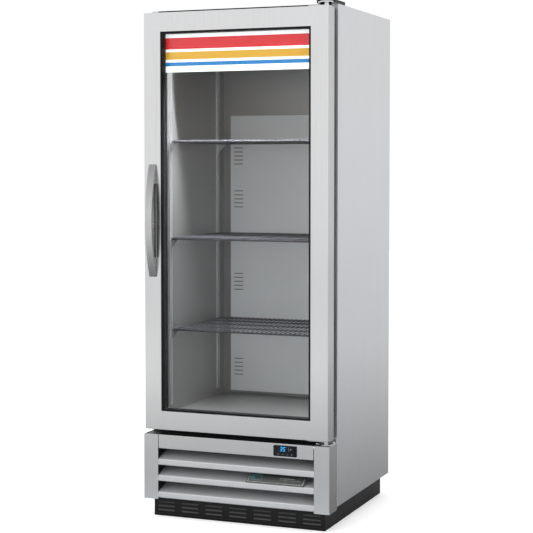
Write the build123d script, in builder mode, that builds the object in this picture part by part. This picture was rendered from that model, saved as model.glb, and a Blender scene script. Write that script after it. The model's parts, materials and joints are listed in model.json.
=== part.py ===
"""Upright refrigerated display cabinet with one self-closing glass door.

Frame: +Z up, +X to the right as seen by a customer, -Y towards the customer.
The origin is on the floor, at the centre of the bounding box. Millimetres.
"""

from build123d import *
import math
import os

os.makedirs("parts", exist_ok=True)

# ------------------------------------------------------------------ driving dimensions
CABINET_WIDTH = 632.0
CABINET_DEPTH = 540.0  # outer box only, without the door
CABINET_TOP = 1620.0
CABINET_BOTTOM = 69.0  # lower edge of the side panels
DOOR_FRONT = 72.0  # door face, ahead of the cabinet's front plane
DOOR_BACK = 18.0  # back edge of the door's steel skin, ahead of the same plane
HANDLE_REACH = 35.0  # bow handle, ahead of the door face
SHEET = 1.2  # cabinet sheet metal
WALL = 37.0  # insulated side wall
SLIP = 0.3  # gap between two bodies that pass each other
SEAM = 0.1  # gap where two fixed pieces meet
FIT = 0.2  # gap round a piece that is slid into place
CUT = 1.0  # a cutter runs this far past the face it opens
FOLD_R = 1.0  # outer radius of a folded sheet corner
REAR_INSET = 3.0  # the rear sheets sit this far inside the side panels' back edges

HALF_W = CABINET_WIDTH / 2
FACE_Y = (DOOR_FRONT + HANDLE_REACH - CABINET_DEPTH) / 2  # cabinet's front plane
BACK_Y = FACE_Y + CABINET_DEPTH
REAR_Y = BACK_Y - REAR_INSET  # outer face of the rear sheets
DOOR_Y = FACE_Y - DOOR_FRONT  # door's front plane
INSIDE_W = HALF_W - SHEET  # inner face of a side panel

# door, and the glass opening in its steel face
DOOR_HALF_W = 310.0
DOOR_BOTTOM = 284.0
DOOR_TOP = 1608.0
DOOR_MID_Z = (DOOR_BOTTOM + DOOR_TOP) / 2
DOOR_HALF_H = (DOOR_TOP - DOOR_BOTTOM) / 2
OPENING_HALF_W = 253.0
OPENING_HALF_H = 602.0
SKIN = 1.5
PANE = 4.0
PIN_X = 294.0
PIN_Y = FACE_Y - 45.0
PIN_R = 5.0

# refrigerated space
ROOM_HALF_W = HALF_W - WALL
ROOM_FLOOR = 322.0
ROOM_CEILING = 1572.0
THROAT_DEPTH = 13.2  # black strips between the outer shell and the liner
ROOM_BACK = FACE_Y + 493.0
DECK_Z = 272.0  # sheet under the insulated box
BASE_DECK_Z = CABINET_BOTTOM

# shelves
SHELF_LEVELS = {"shelf_upper": 1203.0, "shelf_middle": 889.0, "shelf_lower": 593.0}
SHELF_HALF_W = 270.0
SHELF_FRONT = FACE_Y + 34.0
SHELF_DEPTH = 407.0
RIM_R = 3.2
WIRE_R = 1.6
WIRE_PITCH = 16.0
WIRE_COUNT = 33
WIRE_SINK = 0.7  # the wires are welded this far into the bars they cross
TIP_LENGTH = 5.2  # turned-down front end of a wire
BAR_R = 2.6
BAR_SHARES = (0.28, 0.53, 0.78)  # places of the cross bars, as shares of the depth
RIM_CORNER_R = 10.0
STANDARD_WIDTH = 20.0
STANDARD_FACE = 274.0  # slotted face, from the middle plane
STANDARD_ROWS = (FACE_Y + 50.0, FACE_Y + 435.0)

# machine space and its grille
POST_TOP = 268.0
POST_BOTTOM = 59.0
POST_HALF_W = 315.0
POST_INNER = 265.1
RAIL_HALF_W = 263.0
RAIL_BOTTOM = 224.0
LOUVER_TOPS = {"louver_upper": 188.0, "louver_middle": 136.0, "louver_lower": 82.0}
LOUVER_LIP = 17.5
LOUVER_SLOPE = math.radians(19.0)
LOUVER_HALF_W = 265.0
BASE_HALF_W = 291.7
KICK_Y = FACE_Y - 44.0
BASE_BACK = FACE_Y + 524.0

# condensing unit
FAN_X = -70.0
FAN_Z = 166.0
FAN_Y = FACE_Y + 112.0
EVAP_FAN_X = 140.0
EVAP_FAN_Y = FACE_Y + 230.0
EVAP_FAN_Z = 1480.0
SHAFT_R = 4.0
BORE_CLEARANCE = 0.05
CHASE_X = (140.0, 235.0)
SUCTION_X = 170.0
DRAIN_X = 215.0
LINE_Y = FACE_Y + 515.0
SUCTION_Z = 1520.0
DRAIN_Z = 1425.0
PASS_R = 9.0  # holes for the suction line and the drain, in the liner and the evaporator cover
CHASE_R = 12.0  # holes for the same two lines in the machine deck
CHASE_HALF_D = 13.0
CHASE_TOP = SUCTION_Z + 20.0


def block(x, y, z, mode=Mode.ADD):
    """A box between the (low, high) values given for each axis."""
    middle = ((x[0] + x[1]) / 2, (y[0] + y[1]) / 2, (z[0] + z[1]) / 2)
    with Locations(middle):
        Box(x[1] - x[0], y[1] - y[0], z[1] - z[0], mode=mode)


def upright(y):
    """A vertical plane that faces the customer, at the given depth."""
    return Plane.XZ.offset(-y)


def around(margin):
    """Half width and half height of a rectangle that lies this far outside the glass opening."""
    return (OPENING_HALF_W + margin, OPENING_HALF_H + margin)


def ring(outer, inner, y_front, y_back):
    """A rectangular door ring between two (half width, half height) outlines."""
    with BuildSketch(upright(y_back)) as face:
        with Locations((0, DOOR_MID_Z)):
            Rectangle(2 * outer[0], 2 * outer[1])
            Rectangle(2 * inner[0], 2 * inner[1], mode=Mode.SUBTRACT)
    extrude(face.sketch, amount=y_back - y_front)


def pane(half, y_front, y_back):
    """A full rectangular plate in the door, given as (half width, half height)."""
    with BuildSketch(upright(y_back)) as face:
        with Locations((0, DOOR_MID_Z)):
            Rectangle(2 * half[0], 2 * half[1])
    extrude(face.sketch, amount=y_back - y_front)


def post(x, y, z_low, z_high, radius, mode=Mode.ADD):
    """An upright round bar or hole."""
    with Locations((x, y, (z_low + z_high) / 2)):
        Cylinder(radius, z_high - z_low, mode=mode)


def cross_bore(x, z, y_low, y_high, radius, mode=Mode.SUBTRACT):
    """A round bar or hole that runs from front to back."""
    with Locations(Location((x, (y_low + y_high) / 2, z), (90, 0, 0))):
        Cylinder(radius, y_high - y_low, mode=mode)


def tube(points, radius, bend):
    """A solid round line through the points, with an arc of one bend radius at each corner."""
    with BuildLine() as route:
        FilletPolyline(*points, radius=bend)
    with BuildSketch(Plane(origin=route.line @ 0, z_dir=route.line % 0)) as end:
        Circle(radius)
    sweep(end.sketch, path=route.line)


# ================================================================== outer shell
FLANGE = 22.0
for side, label in ((-1, "side_panel_left"), (1, "side_panel_right")):
    outer_x = sorted((side * HALF_W, side * INSIDE_W))
    flange_x = sorted((side * HALF_W, side * (HALF_W - FLANGE)))
    with BuildPart() as side_panel:
        block(outer_x, (FACE_Y, BACK_Y), (CABINET_BOTTOM, CABINET_TOP))
        block(flange_x, (FACE_Y, FACE_Y + SHEET), (CABINET_BOTTOM, CABINET_TOP))
        corner = side_panel.edges().filter_by(Axis.Z).group_by(Axis.Y)[0].sort_by(Axis.X)
        fillet(corner[0] if side < 0 else corner[-1], radius=FOLD_R)
    side_panel.part.label = label
    export_step(side_panel.part, f"parts/{label}.step")

with BuildPart() as top_panel:
    block((-INSIDE_W, INSIDE_W), (FACE_Y + THROAT_DEPTH, BACK_Y), (CABINET_TOP - SHEET, CABINET_TOP))
top_panel.part.label = "top_panel"
export_step(top_panel.part, "parts/top_panel.step")

RIB_HALF_W = 20.0
RIB_END = 60.0  # the stiffening ribs stop this far from the panel's ends
with BuildPart() as rear_panel:
    block((-INSIDE_W, INSIDE_W), (REAR_Y - SHEET, REAR_Y), (DECK_Z + SHEET, CABINET_TOP - SHEET))
    for rib_x in (-150.0, 0.0, 150.0):
        rib_z = (DECK_Z + RIB_END, CABINET_TOP - RIB_END)
        block((rib_x - RIB_HALF_W, rib_x + RIB_HALF_W), (REAR_Y, REAR_Y + SHEET), rib_z)
rear_panel.part.label = "rear_panel"
export_step(rear_panel.part, "parts/rear_panel.step")

with BuildPart() as machine_deck:
    block((-INSIDE_W, INSIDE_W), (FACE_Y + SHEET, BACK_Y), (DECK_Z, DECK_Z + SHEET))
    for line_x in (SUCTION_X, DRAIN_X):
        post(line_x, LINE_Y, DECK_Z - CUT, DECK_Z + SHEET + CUT, CHASE_R, mode=Mode.SUBTRACT)
machine_deck.part.label = "machine_deck"
export_step(machine_deck.part, "parts/machine_deck.step")

# ================================================================== insulation, liner, throat strips
LINER_BACK = ROOM_BACK + SHEET
with BuildPart() as foam_insulation:
    block(
        (-INSIDE_W, INSIDE_W),
        (FACE_Y + THROAT_DEPTH, REAR_Y - SHEET),
        (DECK_Z + SHEET, CABINET_TOP - SHEET),
    )
    block(
        (-ROOM_HALF_W - SHEET, ROOM_HALF_W + SHEET),
        (FACE_Y, LINER_BACK),
        (ROOM_FLOOR - SHEET, ROOM_CEILING + SHEET),
        mode=Mode.SUBTRACT,
    )
    # chase for the refrigerant line and the drain, inside the back wall
    chase_y = (LINE_Y - CHASE_HALF_D, LINE_Y + CHASE_HALF_D)
    block(CHASE_X, chase_y, (DECK_Z, CHASE_TOP), mode=Mode.SUBTRACT)
    cross_bore(SUCTION_X, SUCTION_Z, LINER_BACK - CUT, LINE_Y, PASS_R)
    cross_bore(DRAIN_X, DRAIN_Z, LINER_BACK - CUT, LINE_Y, PASS_R)
foam_insulation.part.label = "foam_insulation"
export_step(foam_insulation.part, "parts/foam_insulation.step")

with BuildPart() as inner_liner:
    block(
        (-ROOM_HALF_W - SHEET, ROOM_HALF_W + SHEET),
        (FACE_Y + THROAT_DEPTH, LINER_BACK),
        (ROOM_FLOOR - SHEET, ROOM_CEILING + SHEET),
    )
    block(
        (-ROOM_HALF_W, ROOM_HALF_W),
        (FACE_Y, ROOM_BACK),
        (ROOM_FLOOR, ROOM_CEILING),
        mode=Mode.SUBTRACT,
    )
    cross_bore(SUCTION_X, SUCTION_Z, ROOM_BACK - CUT, LINER_BACK + CUT, PASS_R)
    cross_bore(DRAIN_X, DRAIN_Z, ROOM_BACK - CUT, LINER_BACK + CUT, PASS_R)
inner_liner.part.label = "inner_liner"
export_step(inner_liner.part, "parts/inner_liner.step")

THROAT_HALF_W = 272.0
THROAT_LOW = DOOR_MID_Z - OPENING_HALF_H - 15.0
THROAT_HIGH = DOOR_MID_Z + OPENING_HALF_H + 17.0
FLUSH_HALF_W = HALF_W - FLANGE - FIT  # where the strip can come level with the side flange
throat_y = (FACE_Y, FACE_Y + THROAT_DEPTH)
behind_y = (FACE_Y + SHEET, FACE_Y + THROAT_DEPTH)
with BuildPart() as face_frame:
    for side in (-1, 1):
        flush_x = sorted((side * THROAT_HALF_W, side * FLUSH_HALF_W))
        hidden_x = sorted((side * THROAT_HALF_W, side * INSIDE_W))
        block(flush_x, throat_y, (THROAT_LOW, THROAT_HIGH))
        block(hidden_x, behind_y, (THROAT_LOW, THROAT_HIGH))
    for z in ((THROAT_HIGH + SEAM, CABINET_TOP), (DECK_Z + SHEET, THROAT_LOW - SEAM)):
        block((-FLUSH_HALF_W, FLUSH_HALF_W), throat_y, z)
        block((-INSIDE_W, INSIDE_W), behind_y, z)
face_frame.part.label = "face_frame"
export_step(face_frame.part, "parts/face_frame.step")

# ================================================================== shelf standards, clips and shelves
SLOT_PITCH = 12.7
SLOT_COUNT = 92
SLOT_SIZE = (3.2, 7.0)
STANDARD_LOW = 345.0
STANDARD_HIGH = STANDARD_LOW + SLOT_PITCH * (SLOT_COUNT + 1)
with BuildPart() as shelf_standards:
    for side in (-1, 1):
        for row_y in STANDARD_ROWS:
            y = (row_y - STANDARD_WIDTH / 2, row_y + STANDARD_WIDTH / 2)
            z = (STANDARD_LOW, STANDARD_HIGH)
            with BuildSketch(Plane.YZ.offset(side * STANDARD_FACE)) as web:
                with Locations((row_y, (STANDARD_LOW + STANDARD_HIGH) / 2)):
                    Rectangle(STANDARD_WIDTH, STANDARD_HIGH - STANDARD_LOW)
                    with GridLocations(0, SLOT_PITCH, 1, SLOT_COUNT):
                        Rectangle(*SLOT_SIZE, mode=Mode.SUBTRACT)
            extrude(web.sketch, amount=side * SHEET)
            flange_x = sorted((side * STANDARD_FACE, side * ROOM_HALF_W))
            block(flange_x, (y[0], y[0] + SHEET), z)
            block(flange_x, (y[1] - SHEET, y[1]), z)
shelf_standards.part.label = "shelf_standards"
export_step(shelf_standards.part, "parts/shelf_standards.step")

CLIP_REACH = 24.0
CLIP_DROP = 26.0
CLIP_THICK = 2.8
CLIP_NOSE = 4.0  # height of the free end
CLIP_KNEE = 5.0  # width of the foot against the standard
CLIP_TOE = 3.0  # height of the foot
LEDGE_HALF_W = 7.0
LEDGE_THICK = 2.0
with BuildPart() as shelf_clips:
    for level in SHELF_LEVELS.values():
        seat_z = level - RIM_R - SLIP
        for side in (-1, 1):
            root_x = side * (STANDARD_FACE - SEAM)
            tip_x = side * (STANDARD_FACE - CLIP_REACH)
            knee_x = side * (STANDARD_FACE - CLIP_KNEE)
            for row_y in STANDARD_ROWS:
                with BuildSketch(upright(row_y + CLIP_THICK / 2)) as gusset:
                    with BuildLine():
                        Polyline(
                            (root_x, seat_z),
                            (tip_x, seat_z),
                            (tip_x, seat_z - CLIP_NOSE),
                            (knee_x, seat_z - CLIP_DROP + CLIP_TOE),
                            (knee_x, seat_z - CLIP_DROP),
                            (root_x, seat_z - CLIP_DROP),
                            close=True,
                        )
                    make_face()
                extrude(gusset.sketch, amount=CLIP_THICK)
                ledge_x = sorted((root_x, tip_x))
                ledge_y = (row_y - LEDGE_HALF_W, row_y + LEDGE_HALF_W)
                block(ledge_x, ledge_y, (seat_z - LEDGE_THICK, seat_z))
shelf_clips.part.label = "shelf_clips"
export_step(shelf_clips.part, "parts/shelf_clips.step")

for label, level in SHELF_LEVELS.items():
    middle_y = SHELF_FRONT + SHELF_DEPTH / 2
    wire_z = level + RIM_R + WIRE_R - WIRE_SINK
    with BuildPart() as shelf:
        with BuildLine() as rim:
            FilletPolyline(
                (-SHELF_HALF_W + RIM_R, SHELF_FRONT + RIM_R, level),
                (SHELF_HALF_W - RIM_R, SHELF_FRONT + RIM_R, level),
                (SHELF_HALF_W - RIM_R, SHELF_FRONT + SHELF_DEPTH - RIM_R, level),
                (-SHELF_HALF_W + RIM_R, SHELF_FRONT + SHELF_DEPTH - RIM_R, level),
                radius=RIM_CORNER_R,
                close=True,
            )
        with BuildSketch(Plane(origin=rim.line @ 0, z_dir=rim.line % 0)) as rim_section:
            Circle(RIM_R)
        sweep(rim_section.sketch, path=rim.line)
        # three bars from side to side, under the wires
        for share in BAR_SHARES:
            bar_y = SHELF_FRONT + SHELF_DEPTH * share
            with Locations(Location((0, bar_y, level), (0, 90, 0))):
                Cylinder(BAR_R, 2 * (SHELF_HALF_W - RIM_R))
        # the load-bearing wires, front to back
        with Locations(Location((0, middle_y, wire_z), (90, 0, 0))):
            with GridLocations(WIRE_PITCH, 0, WIRE_COUNT, 1):
                Cylinder(WIRE_R, SHELF_DEPTH - 1.0)
        # the wires' front ends turn down over the front bar
        tip_y = SHELF_FRONT + WIRE_R + SLIP
        with Locations((0, tip_y, wire_z - SLIP - TIP_LENGTH / 2)):
            with GridLocations(WIRE_PITCH, 0, WIRE_COUNT, 1):
                Cylinder(WIRE_R, TIP_LENGTH)
    shelf.part.label = label
    export_step(shelf.part, f"parts/{label}.step")

# ================================================================== air duct, lights, evaporator
DUCT_HALF_W = 243.0
DUCT_FACE_Y = FACE_Y + 470.0
DUCT_LOW = 335.0
DUCT_HIGH = 1300.0
DUCT_BANKS = (420.0, 720.0, 1010.0, 1160.0)  # heights of the banks of air slots
DUCT_SLOT = (34.0, 3.5)
DUCT_SLOT_ROWS = 5
DUCT_SLOT_RISE = 14.0
DUCT_SLOT_INSET = 30.0  # slot centres, inside the panel's edges
with BuildPart() as rear_duct_panel:
    block((-DUCT_HALF_W, DUCT_HALF_W), (DUCT_FACE_Y, DUCT_FACE_Y + SHEET), (DUCT_LOW, DUCT_HIGH))
    for side in (-1, 1):
        edge_x = sorted((side * DUCT_HALF_W, side * (DUCT_HALF_W - SHEET)))
        block(edge_x, (DUCT_FACE_Y, ROOM_BACK), (DUCT_LOW, DUCT_HIGH))
    for bank_z in DUCT_BANKS:
        for row in range(DUCT_SLOT_ROWS):
            slot_z = bank_z + (row - (DUCT_SLOT_ROWS - 1) / 2) * DUCT_SLOT_RISE
            with Locations((0, DUCT_FACE_Y, slot_z)):
                with GridLocations(2 * (DUCT_HALF_W - DUCT_SLOT_INSET), 1, 2, 1):
                    Box(DUCT_SLOT[0], 4 * SHEET, DUCT_SLOT[1], mode=Mode.SUBTRACT)
rear_duct_panel.part.label = "rear_duct_panel"
export_step(rear_duct_panel.part, "parts/rear_duct_panel.step")

LAMP_HALF_W = 220.0
LAMP_LOW = 1553.0
LAMP_WALL = 2.0
LENS_LOW = 1547.0
LENS_HIGH = 1562.0
LENS_R = 6.0
lamp_y = (FACE_Y + 22.0, FACE_Y + 46.0)
lens_gap = LAMP_WALL + FIT
with BuildPart() as led_channel:
    block((-LAMP_HALF_W, LAMP_HALF_W), lamp_y, (LAMP_LOW, ROOM_CEILING))
    block(
        (-LAMP_HALF_W + LAMP_WALL, LAMP_HALF_W - LAMP_WALL),
        (lamp_y[0] + LAMP_WALL, lamp_y[1] - LAMP_WALL),
        (LAMP_LOW - CUT, ROOM_CEILING - 2 * LAMP_WALL),
        mode=Mode.SUBTRACT,
    )
led_channel.part.label = "led_channel"
export_step(led_channel.part, "parts/led_channel.step")

with BuildPart() as led_lens:
    block(
        (-LAMP_HALF_W + lens_gap, LAMP_HALF_W - lens_gap),
        (lamp_y[0] + lens_gap, lamp_y[1] - lens_gap),
        (LENS_LOW, LENS_HIGH),
    )
    lens_edges = led_lens.faces().sort_by(Axis.Z)[0].edges().filter_by(Axis.X)
    fillet(lens_edges, radius=LENS_R)
led_lens.part.label = "led_lens"
export_step(led_lens.part, "parts/led_lens.step")

COVER_X = (-235.0, 235.0)
COVER_Y = (FACE_Y + 60.0, FACE_Y + 400.0)
COVER_LOW = 1452.0
COVER_FAN_R = 84.0
DRAIN_R = 6.0
DRAIN_OUTLET_Y = COVER_Y[1] - 18.0
RETURN_X = -90.0  # middle of the return-air slots
RETURN_SLOT = (44.0, 7.0)
RETURN_PITCH = (58.0, 16.0)
RETURN_COUNT = 4
with BuildPart() as evaporator_cover:
    block(COVER_X, COVER_Y, (COVER_LOW, ROOM_CEILING))
    block(
        (COVER_X[0] + SHEET, COVER_X[1] - SHEET),
        (COVER_Y[0] + SHEET, COVER_Y[1] - SHEET),
        (COVER_LOW + SHEET, ROOM_CEILING + CUT),
        mode=Mode.SUBTRACT,
    )
    floor_z = (COVER_LOW - CUT, COVER_LOW + SHEET + CUT)
    post(EVAP_FAN_X, EVAP_FAN_Y, floor_z[0], floor_z[1], COVER_FAN_R, mode=Mode.SUBTRACT)
    post(DRAIN_X, DRAIN_OUTLET_Y, floor_z[0], floor_z[1], DRAIN_R + CUT, mode=Mode.SUBTRACT)
    cross_bore(SUCTION_X, SUCTION_Z, COVER_Y[1] - SHEET - CUT, COVER_Y[1] + CUT, PASS_R)
    # return-air slots along the front
    for row in range(RETURN_COUNT):
        slot_z = (COVER_LOW + ROOM_CEILING) / 2 + (row - (RETURN_COUNT - 1) / 2) * RETURN_PITCH[1]
        with Locations((RETURN_X, COVER_Y[0], slot_z)):
            with GridLocations(RETURN_PITCH[0], 1, RETURN_COUNT, 1):
                Box(RETURN_SLOT[0], 4 * SHEET, RETURN_SLOT[1], mode=Mode.SUBTRACT)
evaporator_cover.part.label = "evaporator_cover"
export_step(evaporator_cover.part, "parts/evaporator_cover.step")

FIN = 0.8
EVAP_MID = (-92.0, FACE_Y + 230.0, 1516.0)
EVAP_FIN_SIZE = (280.0, 88.0)
EVAP_FIN_PITCH = 10.0
EVAP_FIN_COUNT = 25
EVAP_TUBE_R = 4.5
EVAP_TUBE_LENGTH = 258.0
with BuildPart() as evaporator_coil:
    with Locations(EVAP_MID):
        with GridLocations(EVAP_FIN_PITCH, 1, EVAP_FIN_COUNT, 1):
            Box(FIN, *EVAP_FIN_SIZE)
    with Locations(Location(EVAP_MID, (0, 90, 0))):
        with GridLocations(44, 54, 2, 5):
            Cylinder(EVAP_TUBE_R, EVAP_TUBE_LENGTH)
evaporator_coil.part.label = "evaporator_coil"
export_step(evaporator_coil.part, "parts/evaporator_coil.step")

EVAP_MOTOR_Z = (1502.0, 1545.0)
EVAP_MOTOR_R = 30.0
MOTOR_BAR_X = (48.0, COVER_X[1] - SHEET - SEAM)
MOTOR_BAR_HALF_W = 8.0
MOTOR_BAR = 3.0
SHAFT_REACH = 6.0  # a shaft runs this far past its fan's middle
with BuildPart() as evaporator_motor:
    post(EVAP_FAN_X, EVAP_FAN_Y, EVAP_MOTOR_Z[0], EVAP_MOTOR_Z[1], EVAP_MOTOR_R)
    motor_rim = evaporator_motor.faces().sort_by(Axis.Z)[0].edges()
    fillet(motor_rim, radius=5)
    post(EVAP_FAN_X, EVAP_FAN_Y, EVAP_FAN_Z - SHAFT_REACH, EVAP_MOTOR_Z[0] + CUT, SHAFT_R)
    bar_y = (EVAP_FAN_Y - MOTOR_BAR_HALF_W, EVAP_FAN_Y + MOTOR_BAR_HALF_W)
    block(MOTOR_BAR_X, bar_y, (EVAP_MOTOR_Z[1] - CUT, EVAP_MOTOR_Z[1] - CUT + MOTOR_BAR))
evaporator_motor.part.label = "evaporator_motor"
export_step(evaporator_motor.part, "parts/evaporator_motor.step")

BLADE = 2.0
BLADES = 5
BLADE_ROOT = 4.0  # the blades run this far into the hub
HUB_BORE_LENGTH = 60.0


def fan_wheel(hub_r, hub_length, blade_length, blade_width, pitch_deg):
    """A hub on the work plane's axis, with straight blades set at a pitch and a bore for the shaft."""
    Cylinder(hub_r, hub_length)
    with PolarLocations(hub_r + blade_length / 2 - BLADE_ROOT, BLADES):
        Box(blade_length, blade_width, BLADE, rotation=(pitch_deg, 0, 0))
    Cylinder(SHAFT_R + BORE_CLEARANCE, HUB_BORE_LENGTH, mode=Mode.SUBTRACT)


with BuildPart(Plane(origin=(EVAP_FAN_X, EVAP_FAN_Y, EVAP_FAN_Z))) as evaporator_fan:
    fan_wheel(20, 22, 60, 36, 24)
evaporator_fan.part.label = "evaporator_fan"
export_step(evaporator_fan.part, "parts/evaporator_fan.step")

GUARD_RINGS = (22, 40, 58, 76, 92)
GUARD_WIRE = 3.0
GUARD_SPOKES = 6
with BuildPart() as evaporator_fan_guard:
    for ring_r in GUARD_RINGS:
        with BuildSketch(Plane.XY.offset(COVER_LOW - SEAM)) as guard_ring:
            with Locations((EVAP_FAN_X, EVAP_FAN_Y)):
                Circle(ring_r + GUARD_WIRE / 2)
                Circle(ring_r - GUARD_WIRE / 2, mode=Mode.SUBTRACT)
        extrude(guard_ring.sketch, amount=-GUARD_WIRE)
    spoke = GUARD_RINGS[-1] - GUARD_RINGS[0]
    with Locations((EVAP_FAN_X, EVAP_FAN_Y, COVER_LOW - SEAM - GUARD_WIRE / 2)):
        with PolarLocations(GUARD_RINGS[0] + spoke / 2, GUARD_SPOKES):
            Box(spoke, GUARD_WIRE, GUARD_WIRE)
evaporator_fan_guard.part.label = "evaporator_fan_guard"
export_step(evaporator_fan_guard.part, "parts/evaporator_fan_guard.step")

DRAIN_TURN_Z = 150.0  # where the drain turns forwards, over the condensate pan
DRAIN_END_Y = LINE_Y - 45.0
DRAIN_END_Z = 112.0
with BuildPart() as drain_tube:
    tube(
        [
            (DRAIN_X, DRAIN_OUTLET_Y, COVER_LOW + DRAIN_R),
            (DRAIN_X, DRAIN_OUTLET_Y, DRAIN_Z),
            (DRAIN_X, LINE_Y, DRAIN_Z),
            (DRAIN_X, LINE_Y, DRAIN_TURN_Z),
            (DRAIN_X, DRAIN_END_Y, DRAIN_TURN_Z),
            (DRAIN_X, DRAIN_END_Y, DRAIN_END_Z),
        ],
        radius=DRAIN_R,
        bend=14.0,
    )
drain_tube.part.label = "drain_tube"
export_step(drain_tube.part, "parts/drain_tube.step")

# ================================================================== base
RAIL_FLANGE = 40.0
FOOT_SHEET = 3.0
SOCKET_R = 5.4
SOCKET_X = BASE_HALF_W - RAIL_FLANGE / 2
SOCKET_FRONT = KICK_Y + 40.0
SOCKET_BACK = BASE_BACK - 40.0
NUT_HALF_W = 14.0
NUT_HEIGHT = 9.0
with BuildPart() as base_frame:
    base_y = (KICK_Y + SHEET + FIT, BASE_BACK)
    for side in (-1, 1):
        web_x = sorted((side * BASE_HALF_W, side * (BASE_HALF_W - FOOT_SHEET)))
        foot_x = sorted((side * BASE_HALF_W, side * (BASE_HALF_W - RAIL_FLANGE)))
        block(web_x, base_y, (0, CABINET_BOTTOM))
        block(foot_x, base_y, (0, FOOT_SHEET))
        for socket_y in (SOCKET_FRONT, SOCKET_BACK):
            nut_x = sorted((side * (SOCKET_X - NUT_HALF_W), side * (SOCKET_X + NUT_HALF_W)))
            nut_y = (socket_y - NUT_HALF_W, socket_y + NUT_HALF_W)
            block(nut_x, nut_y, (FOOT_SHEET, FOOT_SHEET + NUT_HEIGHT))
    block((-BASE_HALF_W, BASE_HALF_W), base_y, (BASE_DECK_Z - FOOT_SHEET, BASE_DECK_Z))
    block((-BASE_HALF_W, BASE_HALF_W), (BASE_BACK - FOOT_SHEET, BASE_BACK), (0, BASE_DECK_Z))
    for x in (-SOCKET_X, SOCKET_X):
        for y in (SOCKET_FRONT, SOCKET_BACK):
            post(x, y, -CUT, FOOT_SHEET + NUT_HEIGHT + CUT, SOCKET_R, mode=Mode.SUBTRACT)
base_frame.part.label = "base_frame"
export_step(base_frame.part, "parts/base_frame.step")

KICK_GROUPS = 7
KICK_PITCH = 83.0
KICK_SLOT = (57.0, 5.0)
KICK_ROWS = (19.0, 32.0, 45.0)
KICK_TILT = -28.0  # the slots' blades lean back and catch light from above
KICK_LIP_Z = (7.0, 8.4)
KICK_LIP_DEPTH = 1.6
with BuildPart() as kick_plate:
    kick_x = (-BASE_HALF_W, BASE_HALF_W)
    block(kick_x, (KICK_Y, KICK_Y + SHEET), (0, BASE_DECK_Z - 2))
    for slot_z in KICK_ROWS:
        with Locations((0, KICK_Y, slot_z)):
            with GridLocations(KICK_PITCH, 1, KICK_GROUPS, 1):
                Box(KICK_SLOT[0], 4 * SHEET, KICK_SLOT[1], mode=Mode.SUBTRACT)
        # a tilted blade closes each slot
        with Locations((0, KICK_Y + FIT, slot_z + 0.6)):
            with GridLocations(KICK_PITCH, 1, KICK_GROUPS, 1):
                Box(KICK_SLOT[0] + 1, 1.0, KICK_SLOT[1] + 1.4, rotation=(KICK_TILT, 0, 0))
    block(kick_x, (KICK_Y - KICK_LIP_DEPTH, KICK_Y), KICK_LIP_Z)
kick_plate.part.label = "kick_plate"
export_step(kick_plate.part, "parts/kick_plate.step")

# ================================================================== front grille
with BuildPart() as grille_posts:
    post_y = (DOOR_Y, FACE_Y - SEAM)
    for side in (-1, 1):
        face_x = sorted((side * POST_HALF_W, side * POST_INNER))
        fold_x = sorted((side * POST_HALF_W, side * (POST_HALF_W - SHEET)))
        block(face_x, (DOOR_Y, DOOR_Y + SHEET), (POST_BOTTOM, POST_TOP))
        block(fold_x, post_y, (POST_BOTTOM, POST_TOP))
    for side in (-1, 1):
        front = grille_posts.edges().filter_by(Axis.Z).group_by(Axis.Y)[0].sort_by(Axis.X)
        fillet(front[0] if side < 0 else front[-1], radius=FOLD_R)
grille_posts.part.label = "grille_posts"
export_step(grille_posts.part, "parts/grille_posts.step")

DISPLAY_X = (132.0, 209.0)
DISPLAY_Z = (229.0, 263.0)
DISPLAY_MID = ((DISPLAY_X[0] + DISPLAY_X[1]) / 2, (DISPLAY_Z[0] + DISPLAY_Z[1]) / 2)
BODY_INSET = 2.5  # the display's body passes through the rail inside its front rim
RAIL_FOLD = 22.0
with BuildPart() as grille_top_rail:
    rail_x = (-RAIL_HALF_W, RAIL_HALF_W)
    rail_y = (DOOR_Y, DOOR_Y + RAIL_FOLD)
    block(rail_x, (DOOR_Y, DOOR_Y + SHEET), (RAIL_BOTTOM, POST_TOP))
    block(rail_x, rail_y, (POST_TOP - SHEET, POST_TOP))
    block(rail_x, rail_y, (RAIL_BOTTOM, RAIL_BOTTOM + SHEET))
    rail_edges = grille_top_rail.edges().filter_by(Axis.X).group_by(Axis.Y)[0]
    fillet([rail_edges.sort_by(Axis.Z)[0], rail_edges.sort_by(Axis.Z)[-1]], radius=FOLD_R)
    block(
        (DISPLAY_X[0] + BODY_INSET - FIT, DISPLAY_X[1] - BODY_INSET + FIT),
        (DOOR_Y - CUT, DOOR_Y + SHEET + CUT),
        (DISPLAY_Z[0] + BODY_INSET - FIT, DISPLAY_Z[1] - BODY_INSET + FIT),
        mode=Mode.SUBTRACT,
    )
grille_top_rail.part.label = "grille_top_rail"
export_step(grille_top_rail.part, "parts/grille_top_rail.step")

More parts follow.
